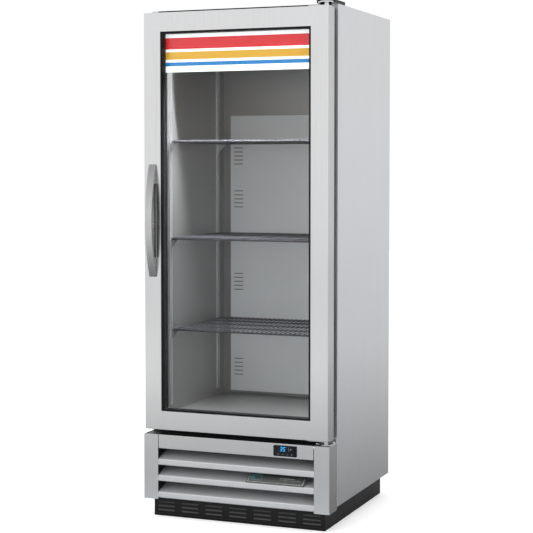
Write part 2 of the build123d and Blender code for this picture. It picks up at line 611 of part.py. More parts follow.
LEDGE_HALF = POST_HALF_W - SHEET - FIT
CHEEK_Y = (DOOR_Y + 4.0, FACE_Y - FIT)
UPSTAND_RIGHT = 258.0  # ends short of the lower hinge bracket
UPSTAND_TOP = DECK_Z + 6.0
TIE_Y = (FACE_Y - 12.0, FACE_Y - 10.0)
TIE_Z = (71.0, 79.0)
with BuildPart() as grille_frame:
    # black ledge under the door with an upstand at its back, two cheeks for the louvers, a tie bar
    ledge_top = POST_TOP - SHEET - FIT
    ledge_y = (DOOR_Y + SHEET + FIT, FACE_Y - FIT)
    block((-LEDGE_HALF, LEDGE_HALF), ledge_y, (ledge_top - SHEET, ledge_top))
    upstand_y = (ledge_y[1] - SHEET, ledge_y[1])
    block((-LEDGE_HALF, UPSTAND_RIGHT), upstand_y, (ledge_top - SHEET, UPSTAND_TOP))
    for side in (-1, 1):
        cheek_x = sorted((side * (LOUVER_HALF_W + FIT), side * (LOUVER_HALF_W + FIT + SHEET)))
        block(cheek_x, CHEEK_Y, (TIE_Z[0], ledge_top))
    block((-LOUVER_HALF_W - 1, LOUVER_HALF_W + 1), TIE_Y, TIE_Z)
grille_frame.part.label = "grille_frame"
export_step(grille_frame.part, "parts/grille_frame.step")

LIP_FRONT = DOOR_Y + 1.0
LOUVER_RUN = DOOR_FRONT - 6.0
LIP_RETURN = 12.0  # the hem folded back under each lip
LIP_RETURN_DROP = 1.5
LIP_R = 4.0
for label, top_z in LOUVER_TOPS.items():
    with BuildPart() as louver:
        with BuildSketch(Plane.YZ) as section:
            with BuildLine() as outline:
                FilletPolyline(
                    (LIP_FRONT + LOUVER_RUN, top_z + LOUVER_RUN * math.tan(LOUVER_SLOPE)),
                    (LIP_FRONT, top_z),
                    (LIP_FRONT, top_z - LOUVER_LIP),
                    (LIP_FRONT + LIP_RETURN, top_z - LOUVER_LIP - LIP_RETURN_DROP),
                    radius=LIP_R,
                )
            trace(outline.line, line_width=SHEET)
        extrude(section.sketch, amount=LOUVER_HALF_W, both=True)
    louver.part.label = label
    export_step(louver.part, f"parts/{label}.step")

# name plate: a slanted blank badge that leans back on the middle louver
PLATE_TILT = math.radians(40.0)
PLATE_LENGTH = 38.0
PLATE_FOOT_X = (-98.0, 94.0)
PLATE_HEAD_X = (-92.0, 99.0)
PLATE_THICK = 2.4
PLATE_EDGE = 0.7
PLATE_RIBS = (60.0, 210.0)
RIB_REACH = 22.0
plate_foot = (136.0, LIP_FRONT + 1.6, LOUVER_TOPS["louver_middle"] + 1.6)
plate_plane = Plane(
    origin=plate_foot,
    x_dir=(1, 0, 0),
    z_dir=(0, -math.cos(PLATE_TILT), math.sin(PLATE_TILT)),
)
with BuildPart() as name_plate:
    with BuildSketch(plate_plane) as plate_face:
        with BuildLine():
            Polyline(
                (PLATE_FOOT_X[0], 0),
                (PLATE_FOOT_X[1], 0),
                (PLATE_HEAD_X[1], PLATE_LENGTH),
                (PLATE_HEAD_X[0], PLATE_LENGTH),
                close=True,
            )
        make_face()
        fillet(plate_face.vertices(), radius=2.0)
    extrude(plate_face.sketch, amount=PLATE_THICK)
    plate_normal = Axis(plate_foot, tuple(plate_plane.z_dir))
    rim_edges = name_plate.faces().sort_by(plate_normal)[-1].edges()
    chamfer(rim_edges, length=PLATE_EDGE)
    # two ribs carry the plate on the louver's sloping sheet
    rib_back = LIP_FRONT + RIB_REACH
    slope_z = LOUVER_TOPS["louver_middle"] + RIB_REACH * math.tan(LOUVER_SLOPE) + SHEET / 2
    plate_z = plate_foot[2] + (rib_back - plate_foot[1]) / math.tan(PLATE_TILT)
    for rib_x in PLATE_RIBS:
        with BuildSketch(Plane.YZ.offset(rib_x)) as rib:
            with BuildLine():
                Polyline(
                    (plate_foot[1] + 1, plate_foot[2] + 2.2),
                    (rib_back, slope_z + 0.5),
                    (rib_back, plate_z + 1),
                    close=True,
                )
            make_face()
        extrude(rib.sketch, amount=2.0, both=True)
name_plate.part.label = "name_plate"
export_step(name_plate.part, "parts/name_plate.step")

# ================================================================== display and its four keys
KEY_SIZE = (9.0, 3.6)
KEY_PITCH = 15.0
KEY_Z = DISPLAY_Z[0] + 6.5
KEY_TRAVEL = 0.5
BEZEL_FRONT = DOOR_Y - 2.0
BEZEL_R = 3.0
BODY_DEPTH = 16.0
WINDOW_INSET = 6.0
WINDOW_DEPTH = 0.6
KEY_LABELS = ("display_key_menu", "display_key_down", "display_key_up", "display_key_power")
with BuildPart() as display_bezel:
    block(DISPLAY_X, (BEZEL_FRONT, DOOR_Y), DISPLAY_Z)
    fillet(display_bezel.edges().filter_by(Axis.Y), radius=BEZEL_R)
    block(
        (DISPLAY_X[0] + BODY_INSET, DISPLAY_X[1] - BODY_INSET),
        (DOOR_Y - CUT, DOOR_Y + BODY_DEPTH),
        (DISPLAY_Z[0] + BODY_INSET, DISPLAY_Z[1] - BODY_INSET),
    )
    # recess for the window over the digits
    block(
        (DISPLAY_X[0] + WINDOW_INSET, DISPLAY_X[1] - WINDOW_INSET),
        (BEZEL_FRONT - CUT, BEZEL_FRONT + WINDOW_DEPTH),
        (KEY_Z + 5, DISPLAY_Z[1] - 4),
        mode=Mode.SUBTRACT,
    )
    with Locations((DISPLAY_MID[0], BEZEL_FRONT + 1.5, KEY_Z)):
        with GridLocations(KEY_PITCH, 1, len(KEY_LABELS), 1):
            Box(KEY_SIZE[0] + 2 * SLIP, 7.0, KEY_SIZE[1] + 2 * SLIP, mode=Mode.SUBTRACT)
display_bezel.part.label = "display_bezel"
export_step(display_bezel.part, "parts/display_bezel.step")

for number, label in enumerate(KEY_LABELS):
    key_x = DISPLAY_MID[0] + (number - 1.5) * KEY_PITCH
    with BuildPart() as key:
        with Locations((key_x, BEZEL_FRONT + 1.2, KEY_Z)):
            Box(KEY_SIZE[0], 4.0, KEY_SIZE[1])
        fillet(key.faces().sort_by(Axis.Y)[0].edges(), radius=0.4)
    key.part.label = label
    export_step(key.part, f"parts/{label}.step")

# ================================================================== condensing unit
COIL_X = (-230.0, 90.0)
COIL_Y = FACE_Y + 42.0
COIL_DEPTH = 44.0
COIL_HEIGHT = 180.0
COIL_FIN_PITCH = 8.0
COIL_FIN_COUNT = 40
COIL_TUBE_R = 4.0
COIL_TUBE_PITCH = (28.0, 22.0)
COIL_TUBE_ROWS = (6, 2)
with BuildPart() as condenser_coil:
    coil_mid = ((COIL_X[0] + COIL_X[1]) / 2, COIL_Y, FAN_Z)
    with Locations(coil_mid):
        with GridLocations(COIL_FIN_PITCH, 1, COIL_FIN_COUNT, 1):
            Box(FIN, COIL_DEPTH, COIL_HEIGHT)
    with Locations(Location(coil_mid, (0, 90, 0))):
        with GridLocations(*COIL_TUBE_PITCH, *COIL_TUBE_ROWS):
            Cylinder(COIL_TUBE_R, COIL_X[1] - COIL_X[0])
condenser_coil.part.label = "condenser_coil"
export_step(condenser_coil.part, "parts/condenser_coil.step")

SHROUD_X = (COIL_X[0] - 4.0, COIL_X[1] + 4.0)
SHROUD_Y = (FACE_Y + 66.0, FACE_Y + 104.0)
SHROUD_Z = (BASE_DECK_Z + FIT, 262.0)
SHROUD_FAN_R = 86.0
with BuildPart() as condenser_shroud:
    block(SHROUD_X, SHROUD_Y, SHROUD_Z)
    block(
        (SHROUD_X[0] + SHEET, SHROUD_X[1] - SHEET),
        (SHROUD_Y[0] - CUT, SHROUD_Y[1] - SHEET),
        (SHROUD_Z[0] + SHEET, SHROUD_Z[1] - SHEET),
        mode=Mode.SUBTRACT,
    )
    cross_bore(FAN_X, FAN_Z, SHROUD_Y[1] - SHEET - CUT, SHROUD_Y[1] + CUT, SHROUD_FAN_R)
condenser_shroud.part.label = "condenser_shroud"
export_step(condenser_shroud.part, "parts/condenser_shroud.step")

fan_plane = Plane(origin=(FAN_X, FAN_Y, FAN_Z), x_dir=(1, 0, 0), z_dir=(0, -1, 0))
with BuildPart(fan_plane) as condenser_fan:
    fan_wheel(22, 24, 62, 38, 26)
condenser_fan.part.label = "condenser_fan"
export_step(condenser_fan.part, "parts/condenser_fan.step")

MOTOR_Y = (FAN_Y + 20.0, FAN_Y + 72.0)
MOTOR_R = 34.0
STAND_HALF_W = 16.0
STAND_THICK = 3.0
STAND_TOP = FAN_Z + 20.0
STAND_FOOT_HALF_W = 30.0
STAND_FOOT_BACK = FAN_Y + 110.0
with BuildPart() as condenser_motor:
    cross_bore(FAN_X, FAN_Z, MOTOR_Y[0], MOTOR_Y[1], MOTOR_R, mode=Mode.ADD)
    fillet(condenser_motor.faces().sort_by(Axis.Y)[0].edges(), radius=6)
    cross_bore(FAN_X, FAN_Z, FAN_Y - SHAFT_REACH, MOTOR_Y[0] + CUT, SHAFT_R, mode=Mode.ADD)
    # an upright stand behind the motor, with a foot on the deck
    stand_x = (FAN_X - STAND_HALF_W, FAN_X + STAND_HALF_W)
    stand_y = (MOTOR_Y[1] - CUT, MOTOR_Y[1] - CUT + STAND_THICK)
    foot_x = (FAN_X - STAND_FOOT_HALF_W, FAN_X + STAND_FOOT_HALF_W)
    foot_z = (BASE_DECK_Z + SEAM, BASE_DECK_Z + STAND_THICK)
    block(stand_x, stand_y, (BASE_DECK_Z + SEAM, STAND_TOP))
    block(foot_x, (stand_y[0], STAND_FOOT_BACK), foot_z)
condenser_motor.part.label = "condenser_motor"
export_step(condenser_motor.part, "parts/condenser_motor.step")

PUMP_X = -110.0
PUMP_Y = FACE_Y + 360.0
PUMP_R = 78.0
PUMP_Z = (88.0, 236.0)
PUMP_SEAM_Z = (147.0, 153.0)
PUMP_PLATE_HALF = (95.0, 62.0)
PUMP_PLATE_Z = (85.0, 89.0)
PUMP_FOOT_R = 9.0
PUMP_FOOT_PITCH = (165.0, 100.0)
with BuildPart() as compressor:
    post(PUMP_X, PUMP_Y, PUMP_Z[0], PUMP_Z[1], PUMP_R)
    fillet(compressor.faces().sort_by(Axis.Z)[-1].edges(), radius=42)
    fillet(compressor.faces().sort_by(Axis.Z)[0].edges(), radius=14)
    post(PUMP_X, PUMP_Y, PUMP_SEAM_Z[0], PUMP_SEAM_Z[1], PUMP_R + 3)
    plate_x = (PUMP_X - PUMP_PLATE_HALF[0], PUMP_X + PUMP_PLATE_HALF[0])
    plate_y = (PUMP_Y - PUMP_PLATE_HALF[1], PUMP_Y + PUMP_PLATE_HALF[1])
    block(plate_x, plate_y, PUMP_PLATE_Z)
    foot_z = (BASE_DECK_Z + SEAM, PUMP_PLATE_Z[0] + CUT)
    with Locations((PUMP_X, PUMP_Y, sum(foot_z) / 2)):
        with GridLocations(*PUMP_FOOT_PITCH, 2, 2):
            Cylinder(PUMP_FOOT_R, foot_z[1] - foot_z[0])
compressor.part.label = "compressor"
export_step(compressor.part, "parts/compressor.step")

PAN_X = (60.0, 250.0)
PAN_Y = (FACE_Y + 330.0, FACE_Y + 500.0)
PAN_TOP = 108.0
PAN_CORNER_R = 12.0
PAN_WALL = 1.6
with BuildPart() as condensate_pan:
    block(PAN_X, PAN_Y, (BASE_DECK_Z + SEAM, PAN_TOP))
    fillet(condensate_pan.edges().filter_by(Axis.Z), radius=PAN_CORNER_R)
    offset(amount=-PAN_WALL, openings=condensate_pan.faces().sort_by(Axis.Z)[-1])
condensate_pan.part.label = "condensate_pan"
export_step(condensate_pan.part, "parts/condensate_pan.step")

BOX_X = (130.0, 250.0)
BOX_Y = (FACE_Y + 40.0, FACE_Y + 160.0)
BOX_TOP = 205.0
LID_LIP = 3.0
LID_THICK = 4.0
HATCH_X = (140.0, 240.0)
HATCH_Z = (110.0, 160.0)
with BuildPart() as junction_box:
    block(BOX_X, BOX_Y, (BASE_DECK_Z + SEAM, BOX_TOP))
    lid_x = (BOX_X[0] - LID_LIP, BOX_X[1] + LID_LIP)
    lid_y = (BOX_Y[0] - LID_LIP, BOX_Y[1] + LID_LIP)
    block(lid_x, lid_y, (BOX_TOP, BOX_TOP + LID_THICK))
    # raised access cover on the front
    block(HATCH_X, (BOX_Y[0] - LID_LIP, BOX_Y[0]), HATCH_Z)
junction_box.part.label = "junction_box"
export_step(junction_box.part, "parts/junction_box.step")

DRIER_X = 20.0
DRIER_Z = 200.0
DRIER_Y = (FACE_Y + 190.0, FACE_Y + 300.0)
DRIER_R = 11.0
HEADER_Y = FACE_Y + 338.0  # where the suction line leaves the evaporator
HEADER_Z = SUCTION_Z - 26.0
HIGH_Z = 250.0  # lines that run just under the machine deck
MANIFOLD_X = COIL_X[1] + 20.0
COIL_IN = (COIL_Y + COIL_TUBE_PITCH[1] / 2, 236.0)
COIL_OUT = (COIL_Y - COIL_TUBE_PITCH[1] / 2, 96.0)
with BuildPart() as refrigerant_lines:
    # filter drier, soldered into the liquid line
    cross_bore(DRIER_X, DRIER_Z, DRIER_Y[0], DRIER_Y[1], DRIER_R, mode=Mode.ADD)
    fillet(refrigerant_lines.edges(), radius=6)
    # suction line: evaporator, back-wall chase, compressor
    tube(
        [
            (41, HEADER_Y, HEADER_Z),
            (SUCTION_X, HEADER_Y, HEADER_Z),
            (SUCTION_X, HEADER_Y, SUCTION_Z),
            (SUCTION_X, LINE_Y, SUCTION_Z),
            (SUCTION_X, LINE_Y, HIGH_Z),
            (PUMP_X + 60, LINE_Y, HIGH_Z),
            (PUMP_X + 60, PUMP_Y + 95, HIGH_Z),
            (PUMP_X + 60, PUMP_Y + 95, 180),
            (PUMP_X + 42, PUMP_Y + 69, 170),
        ],
        radius=4.0,
        bend=9.0,
    )
    # discharge line: compressor to the condenser's upper tube
    tube(
        [
            (PUMP_X + 69, PUMP_Y - 42, 175),
            (PUMP_X + 130, PUMP_Y - 79, 175),
            (PUMP_X + 130, PUMP_Y - 79, HIGH_Z),
            (MANIFOLD_X, PUMP_Y - 110, HIGH_Z),
            (MANIFOLD_X, COIL_IN[0], HIGH_Z),
            (MANIFOLD_X, *COIL_IN),
            (COIL_X[1] + SLIP, *COIL_IN),
        ],
        radius=3.2,
        bend=6.0,
    )
    # liquid line: condenser's lower tube to the drier
    tube(
        [
            (COIL_X[1] + SLIP, *COIL_OUT),
            (MANIFOLD_X, *COIL_OUT),
            (MANIFOLD_X, FACE_Y + 150, COIL_OUT[1]),
            (DRIER_X, DRIER_Y[0] - 30, DRIER_Z),
            (DRIER_X, DRIER_Y[0] + CUT, DRIER_Z),
        ],
        radius=3.0,
        bend=6.0,
    )
refrigerant_lines.part.label = "refrigerant_lines"
export_step(refrigerant_lines.part, "parts/refrigerant_lines.step")

INLET_X = 220.0
INLET_Z = 110.0
INLET_R = 12.0
GLAND_NUT_R = 17.0
GLAND_RIM_R = 16.0
GLAND_RIM = 2.5
CORD_BORE_R = 5.0
VENT_ROWS = (120.0, 138.0, 156.0, 174.0, 192.0, 210.0, 228.0)
VENT_X = -40.0
VENT_PITCH = 96.0
VENT_SIZE = (78.0, 8.0)
with BuildPart() as rear_guard:
    block((-INSIDE_W, INSIDE_W), (REAR_Y - SHEET, REAR_Y), (BASE_DECK_Z + FIT, DECK_Z - FIT))
    for vent_z in VENT_ROWS:
        with Locations((VENT_X, REAR_Y, vent_z)):
            with GridLocations(VENT_PITCH, 1, 4, 1):
                Box(VENT_SIZE[0], 4 * SHEET, VENT_SIZE[1], mode=Mode.SUBTRACT)
    cross_bore(INLET_X, INLET_Z, REAR_Y - SHEET - CUT, REAR_Y + CUT, INLET_R)
rear_guard.part.label = "rear_guard"
export_step(rear_guard.part, "parts/rear_guard.step")

with BuildPart() as cord_inlet:
    # threaded stem through the sheet, its nut inside, its rim outside, and the cord's hole
    rim_y = (REAR_Y + SEAM, REAR_Y + SEAM + GLAND_RIM)
    cross_bore(INLET_X, INLET_Z, REAR_Y - 22, rim_y[0], INLET_R - FIT, mode=Mode.ADD)
    cross_bore(INLET_X, INLET_Z, REAR_Y - 8, REAR_Y - SHEET - SEAM, GLAND_NUT_R, mode=Mode.ADD)
    cross_bore(INLET_X, INLET_Z, rim_y[0], rim_y[1], GLAND_RIM_R, mode=Mode.ADD)
    cross_bore(INLET_X, INLET_Z, REAR_Y - 30, rim_y[1] + CUT, CORD_BORE_R)
cord_inlet.part.label = "cord_inlet"
export_step(cord_inlet.part, "parts/cord_inlet.step")

# ================================================================== hinges on the cabinet
BRACKET = 4.0
BARREL_R = 6.5
BUSH_R = 8.0
BUSH_LENGTH = 26.0
STRAP = 3.0
STRAP_X = (240.0, 306.0)
EYE_R = 20.0  # rounded end of each bracket, round the pin
TOP_BRACKET_X = (266.0, 314.0)
TOP_BRACKET_BACK = FACE_Y + 58.0
strap_y = (PIN_Y - EYE_R, PIN_Y + EYE_R)
with BuildPart() as top_hinge_bracket:
    bracket_z = (CABINET_TOP, CABINET_TOP + BRACKET)
    block(TOP_BRACKET_X, (PIN_Y, TOP_BRACKET_BACK), bracket_z)
    post(PIN_X, PIN_Y, bracket_z[0], bracket_z[1], EYE_R)
    post(PIN_X, PIN_Y, DOOR_TOP + STRAP + SLIP, CABINET_TOP, BARREL_R)
    post(PIN_X, PIN_Y, DOOR_TOP + STRAP - BUSH_LENGTH + 2, CABINET_TOP, PIN_R)
top_hinge_bracket.part.label = "top_hinge_bracket"
export_step(top_hinge_bracket.part, "parts/top_hinge_bracket.step")

COVER_TOP = 1631.0
COVER_EDGE_R = 2.0
with BuildPart() as top_hinge_cover:
    hood_x = (258.0, HALF_W)
    hood_y = (FACE_Y - 34.0, FACE_Y + 64.0)
    block(hood_x, hood_y, (CABINET_TOP + SEAM, COVER_TOP))
    fillet(top_hinge_cover.faces().sort_by(Axis.Z)[-1].edges(), radius=COVER_EDGE_R)
    block(
        (hood_x[0] + SHEET, hood_x[1] - SHEET),
        (hood_y[0] - CUT, hood_y[1] - SHEET),
        (CABINET_TOP, COVER_TOP - 2.2),
        mode=Mode.SUBTRACT,
    )
top_hinge_cover.part.label = "top_hinge_cover"
export_step(top_hinge_cover.part, "parts/top_hinge_cover.step")

FOOT_BRACKET_X = (262.0, 314.0)
with BuildPart() as bottom_hinge_bracket:
    shelf_z = (POST_TOP, POST_TOP + BRACKET)
    block(FOOT_BRACKET_X, (PIN_Y, FACE_Y - SEAM), shelf_z)
    post(PIN_X, PIN_Y, shelf_z[0], shelf_z[1], EYE_R)
    block(FOOT_BRACKET_X, (FACE_Y - SEAM - 3.4, FACE_Y - SEAM), (POST_TOP, DOOR_BOTTOM + BRACKET))
    post(PIN_X, PIN_Y, shelf_z[1], DOOR_BOTTOM - STRAP - SLIP, BARREL_R)
    post(PIN_X, PIN_Y, shelf_z[1], DOOR_BOTTOM - STRAP + BUSH_LENGTH - 2, PIN_R)
bottom_hinge_bracket.part.label = "bottom_hinge_bracket"
export_step(bottom_hinge_bracket.part, "parts/bottom_hinge_bracket.step")

# ================================================================== door
OUTER = (DOOR_HALF_W, DOOR_HALF_H)
INNER_EDGE = around(0)
WELL_R = BUSH_R + 0.4  # clears the hinge bushes
SKIN_HEM = 12.0
FRAME_EDGE = 8.8  # outer edge of the inner frame's wall, outside the opening

with BuildPart() as door_skin:
    ring(OUTER, INNER_EDGE, DOOR_Y, DOOR_Y + SKIN)
    ring(OUTER, (OUTER[0] - SKIN, OUTER[1] - SKIN), DOOR_Y, FACE_Y - DOOR_BACK)
    hem = (OUTER[0] - SKIN_HEM, OUTER[1] - SKIN_HEM)
    ring(OUTER, hem, FACE_Y - DOOR_BACK - SKIN, FACE_Y - DOOR_BACK)
    front_face = door_skin.faces().sort_by(Axis.Y)[0]
    fillet(front_face.outer_wire().edges(), radius=SKIN - SEAM)
    post(PIN_X, PIN_Y, DOOR_TOP - 5, DOOR_TOP + 5, WELL_R, mode=Mode.SUBTRACT)
    post(PIN_X, PIN_Y, DOOR_BOTTOM - 5, DOOR_BOTTOM + 5, WELL_R, mode=Mode.SUBTRACT)
door_skin.part.label = "door_skin"
export_step(door_skin.part, "parts/door_skin.step")

with BuildPart() as door_foam:
    ring(
        (OUTER[0] - SKIN - SEAM, OUTER[1] - SKIN - SEAM),
        around(FRAME_EDGE + 0.7),
        DOOR_Y + SKIN + SEAM,
        FACE_Y - DOOR_BACK - SKIN - SEAM,
    )
    post(PIN_X, PIN_Y, DOOR_TOP - BUSH_LENGTH, DOOR_TOP, WELL_R, mode=Mode.SUBTRACT)
    post(PIN_X, PIN_Y, DOOR_BOTTOM, DOOR_BOTTOM + BUSH_LENGTH, WELL_R, mode=Mode.SUBTRACT)
door_foam.part.label = "door_foam"
export_step(door_foam.part, "parts/door_foam.step")

GLASS_FRONT = FACE_Y - 65.6
GLASS_BACK = FACE_Y - 43.8
BEAD = -6.5  # the black frame covers the glass edge this far inside the opening
GLASS_POCKET = -2.0
GLASS_EDGE = GLASS_POCKET - FIT
BEAD_BACK = GLASS_BACK + 3.8
THROAT_EDGE = 4.0
LINER_EDGE = 47.0  # the frame's back spreads this far, over the foam
LINER_FACE = FACE_Y - 12.3
with BuildPart() as door_inner_frame:
    ring(around(FRAME_EDGE), around(BEAD), DOOR_Y + SKIN + SEAM, GLASS_FRONT - SEAM)
    ring(around(FRAME_EDGE), around(GLASS_POCKET), GLASS_FRONT - SEAM, GLASS_BACK + SEAM)
    ring(around(FRAME_EDGE), around(BEAD), GLASS_BACK + SEAM, BEAD_BACK)
    ring(around(FRAME_EDGE), around(THROAT_EDGE), BEAD_BACK, FACE_Y - DOOR_BACK)
    ring(around(LINER_EDGE), around(THROAT_EDGE), FACE_Y - DOOR_BACK, LINER_FACE)
door_inner_frame.part.label = "door_inner_frame"
export_step(door_inner_frame.part, "parts/door_inner_frame.step")

with BuildPart() as glass_outer:
    pane(around(GLASS_EDGE), GLASS_FRONT, GLASS_FRONT + PANE)
glass_outer.part.label = "glass_outer"
export_step(glass_outer.part, "parts/glass_outer.step")

with BuildPart() as glass_inner:
    pane(around(GLASS_EDGE), GLASS_BACK - PANE, GLASS_BACK)
glass_inner.part.label = "glass_inner"
export_step(glass_inner.part, "parts/glass_inner.step")

with BuildPart() as glass_spacer:
    ring(around(GLASS_EDGE), around(BEAD + SEAM), GLASS_FRONT + PANE, GLASS_BACK - PANE)
glass_spacer.part.label = "glass_spacer"
export_step(glass_spacer.part, "parts/glass_spacer.step")

SIGN_LOW = 1421.0
SIGN_HIGH = DOOR_MID_Z + OPENING_HALF_H + BEAD - SLIP
SIGN_HALF_W = OPENING_HALF_W + BEAD - SLIP
SIGN_THICK = 3.0
with BuildPart() as sign_panel:
    sign_y = (GLASS_BACK + SEAM, GLASS_BACK + SEAM + SIGN_THICK)
    block((-SIGN_HALF_W, SIGN_HALF_W), sign_y, (SIGN_LOW, SIGN_HIGH))
sign_panel.part.label = "sign_panel"
export_step(sign_panel.part, "parts/sign_panel.step")

GASKET_OUTER = (PIN_X, DOOR_HALF_H - 16.0)
GASKET_INNER = (PIN_X - 19.0, DOOR_HALF_H - 35.0)
GASKET_NECK_INSET = 6.0
GASKET_NECK_Y = FACE_Y - 9.5
with BuildPart() as door_gasket:
    ring(GASKET_OUTER, GASKET_INNER, GASKET_NECK_Y, FACE_Y - SLIP)
    neck_outer = (GASKET_OUTER[0] - GASKET_NECK_INSET, GASKET_OUTER[1] - GASKET_NECK_INSET)
    neck_inner = (GASKET_INNER[0] + GASKET_NECK_INSET, GASKET_INNER[1] + GASKET_NECK_INSET)
    ring(neck_outer, neck_inner, LINER_FACE, GASKET_NECK_Y)
door_gasket.part.label = "door_gasket"
export_step(door_gasket.part, "parts/door_gasket.step")

with BuildPart() as door_hinge_fittings:
    for z in ((DOOR_TOP, DOOR_TOP + STRAP), (DOOR_BOTTOM - STRAP, DOOR_BOTTOM)):
        block(STRAP_X, strap_y, z)
        post(PIN_X, PIN_Y, z[0] - 1, z[1] + 1, WELL_R, mode=Mode.SUBTRACT)
    fillet(door_hinge_fittings.edges().filter_by(Axis.Z).filter_by(GeomType.LINE), radius=4)
    # plastic bushes that turn on the cabinet's hinge pins
    for z in (
        (DOOR_TOP + STRAP - BUSH_LENGTH, DOOR_TOP + STRAP),
        (DOOR_BOTTOM - STRAP, DOOR_BOTTOM - STRAP + BUSH_LENGTH),
    ):
        post(PIN_X, PIN_Y, z[0], z[1], BUSH_R)
        post(PIN_X, PIN_Y, z[0] - 1, z[1] + 1, PIN_R + BORE_CLEARANCE, mode=Mode.SUBTRACT)
door_hinge_fittings.part.label = "door_hinge_fittings"
export_step(door_hinge_fittings.part, "parts/door_hinge_fittings.step")

# bow handle: an arc that stands off the door, with a long finger slot behind it
HANDLE_X = -280.0
HANDLE_W = 23.7
HANDLE_LOW = 773.0
HANDLE_HIGH = 1130.0
HANDLE_MID = (HANDLE_LOW + HANDLE_HIGH) / 2
HALF_CHORD = (HANDLE_HIGH - HANDLE_LOW) / 2
END_DEPTH = 5.0  # depth of the bow where it meets the door at each end
RISE = HANDLE_REACH - END_DEPTH
BOW_R = (HALF_CHORD**2 + RISE**2) / (2 * RISE)
BOW_THICK = 9.0
BOW_EDGE = 2.0
SLOT_HALF = 117.0
bow_centre = (DOOR_Y - HANDLE_REACH + BOW_R, HANDLE_MID)
with BuildPart() as door_handle:
    with BuildSketch(Plane.YZ.offset(HANDLE_X)) as bow:
        with BuildLine():
            ThreePointArc(
                (DOOR_Y - END_DEPTH, HANDLE_LOW),
                (DOOR_Y - HANDLE_REACH, HANDLE_MID),
                (DOOR_Y - END_DEPTH, HANDLE_HIGH),
            )
            Polyline(
                (DOOR_Y - END_DEPTH, HANDLE_HIGH),
                (DOOR_Y, HANDLE_HIGH),
                (DOOR_Y, HANDLE_LOW),
                (DOOR_Y - END_DEPTH, HANDLE_LOW),
            )
        make_face()
        with BuildSketch(mode=Mode.PRIVATE) as slot:
            with Locations(bow_centre):
                Circle(BOW_R - BOW_THICK)
            with Locations((DOOR_Y - HANDLE_REACH / 2 + CUT, HANDLE_MID)):
                Rectangle(HANDLE_REACH + 2 * CUT, 2 * SLOT_HALF, mode=Mode.INTERSECT)
        add(slot.sketch, mode=Mode.SUBTRACT)
    extrude(bow.sketch, amount=HANDLE_W / 2, both=True)
    bow_face = door_handle.faces().sort_by(Axis.Y)[0]
    chamfer(bow_face.edges().filter_by(GeomType.CIRCLE), length=BOW_EDGE)
door_handle.part.label = "door_handle"
export_step(door_handle.part, "parts/door_handle.step")

# ================================================================== screws
HEAD_R = 5.0
HEAD_HEIGHT = 3.5
TOP_SCREWS = ((276.0, FACE_Y + 12.0), (302.0, FACE_Y + 12.0), (289.0, FACE_Y + 44.0))
FOOT_SCREWS = ((268.0, FACE_Y - 16.0), (308.0, FACE_Y - 16.0))
REAR_SCREW_X = 300.0
REAR_SCREW_ROWS = (400.0, 800.0, 1200.0, 1560.0)
REAR_HEAD_R = 4.5
REAR_HEAD_HEIGHT = 2.4
with BuildPart() as cabinet_screws:
    for places, bracket in ((TOP_SCREWS, CABINET_TOP), (FOOT_SCREWS, POST_TOP)):
        for x, y in places:
            post(x, y, bracket + BRACKET, bracket + BRACKET + HEAD_HEIGHT, HEAD_R)
    for x in (-REAR_SCREW_X, REAR_SCREW_X):
        for z in REAR_SCREW_ROWS:
            cross_bore(x, z, REAR_Y, REAR_Y + REAR_HEAD_HEIGHT, REAR_HEAD_R, mode=Mode.ADD)
cabinet_screws.part.label = "cabinet_screws"
export_step(cabinet_screws.part, "parts/cabinet_screws.step")
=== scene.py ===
"""Looks of an upright refrigerated display cabinet with one glass door.

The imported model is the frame: every place comes from its nodes. Metres, +Z up, -Y towards the customer.
"""

import json
import math

import bmesh
import bpy
from mathutils import Matrix, Vector


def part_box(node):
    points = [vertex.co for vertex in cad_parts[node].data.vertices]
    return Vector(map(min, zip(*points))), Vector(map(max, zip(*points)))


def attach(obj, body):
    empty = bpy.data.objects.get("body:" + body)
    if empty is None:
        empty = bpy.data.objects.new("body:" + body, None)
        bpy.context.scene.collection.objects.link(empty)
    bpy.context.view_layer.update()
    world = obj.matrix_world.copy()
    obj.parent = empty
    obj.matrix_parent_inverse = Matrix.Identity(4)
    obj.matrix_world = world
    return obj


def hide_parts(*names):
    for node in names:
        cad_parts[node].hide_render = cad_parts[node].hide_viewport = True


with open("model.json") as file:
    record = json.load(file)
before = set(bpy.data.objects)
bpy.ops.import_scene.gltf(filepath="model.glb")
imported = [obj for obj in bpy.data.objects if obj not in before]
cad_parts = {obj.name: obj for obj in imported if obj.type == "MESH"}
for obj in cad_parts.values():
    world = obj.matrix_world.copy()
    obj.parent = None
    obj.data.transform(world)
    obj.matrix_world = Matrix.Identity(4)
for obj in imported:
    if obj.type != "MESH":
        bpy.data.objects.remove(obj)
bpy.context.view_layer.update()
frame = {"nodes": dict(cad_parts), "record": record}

MM = 0.001
NODES = frame["nodes"]
SLOT_OF = {row["node"]: row["material_slot"] for row in frame["record"]["subparts"]}


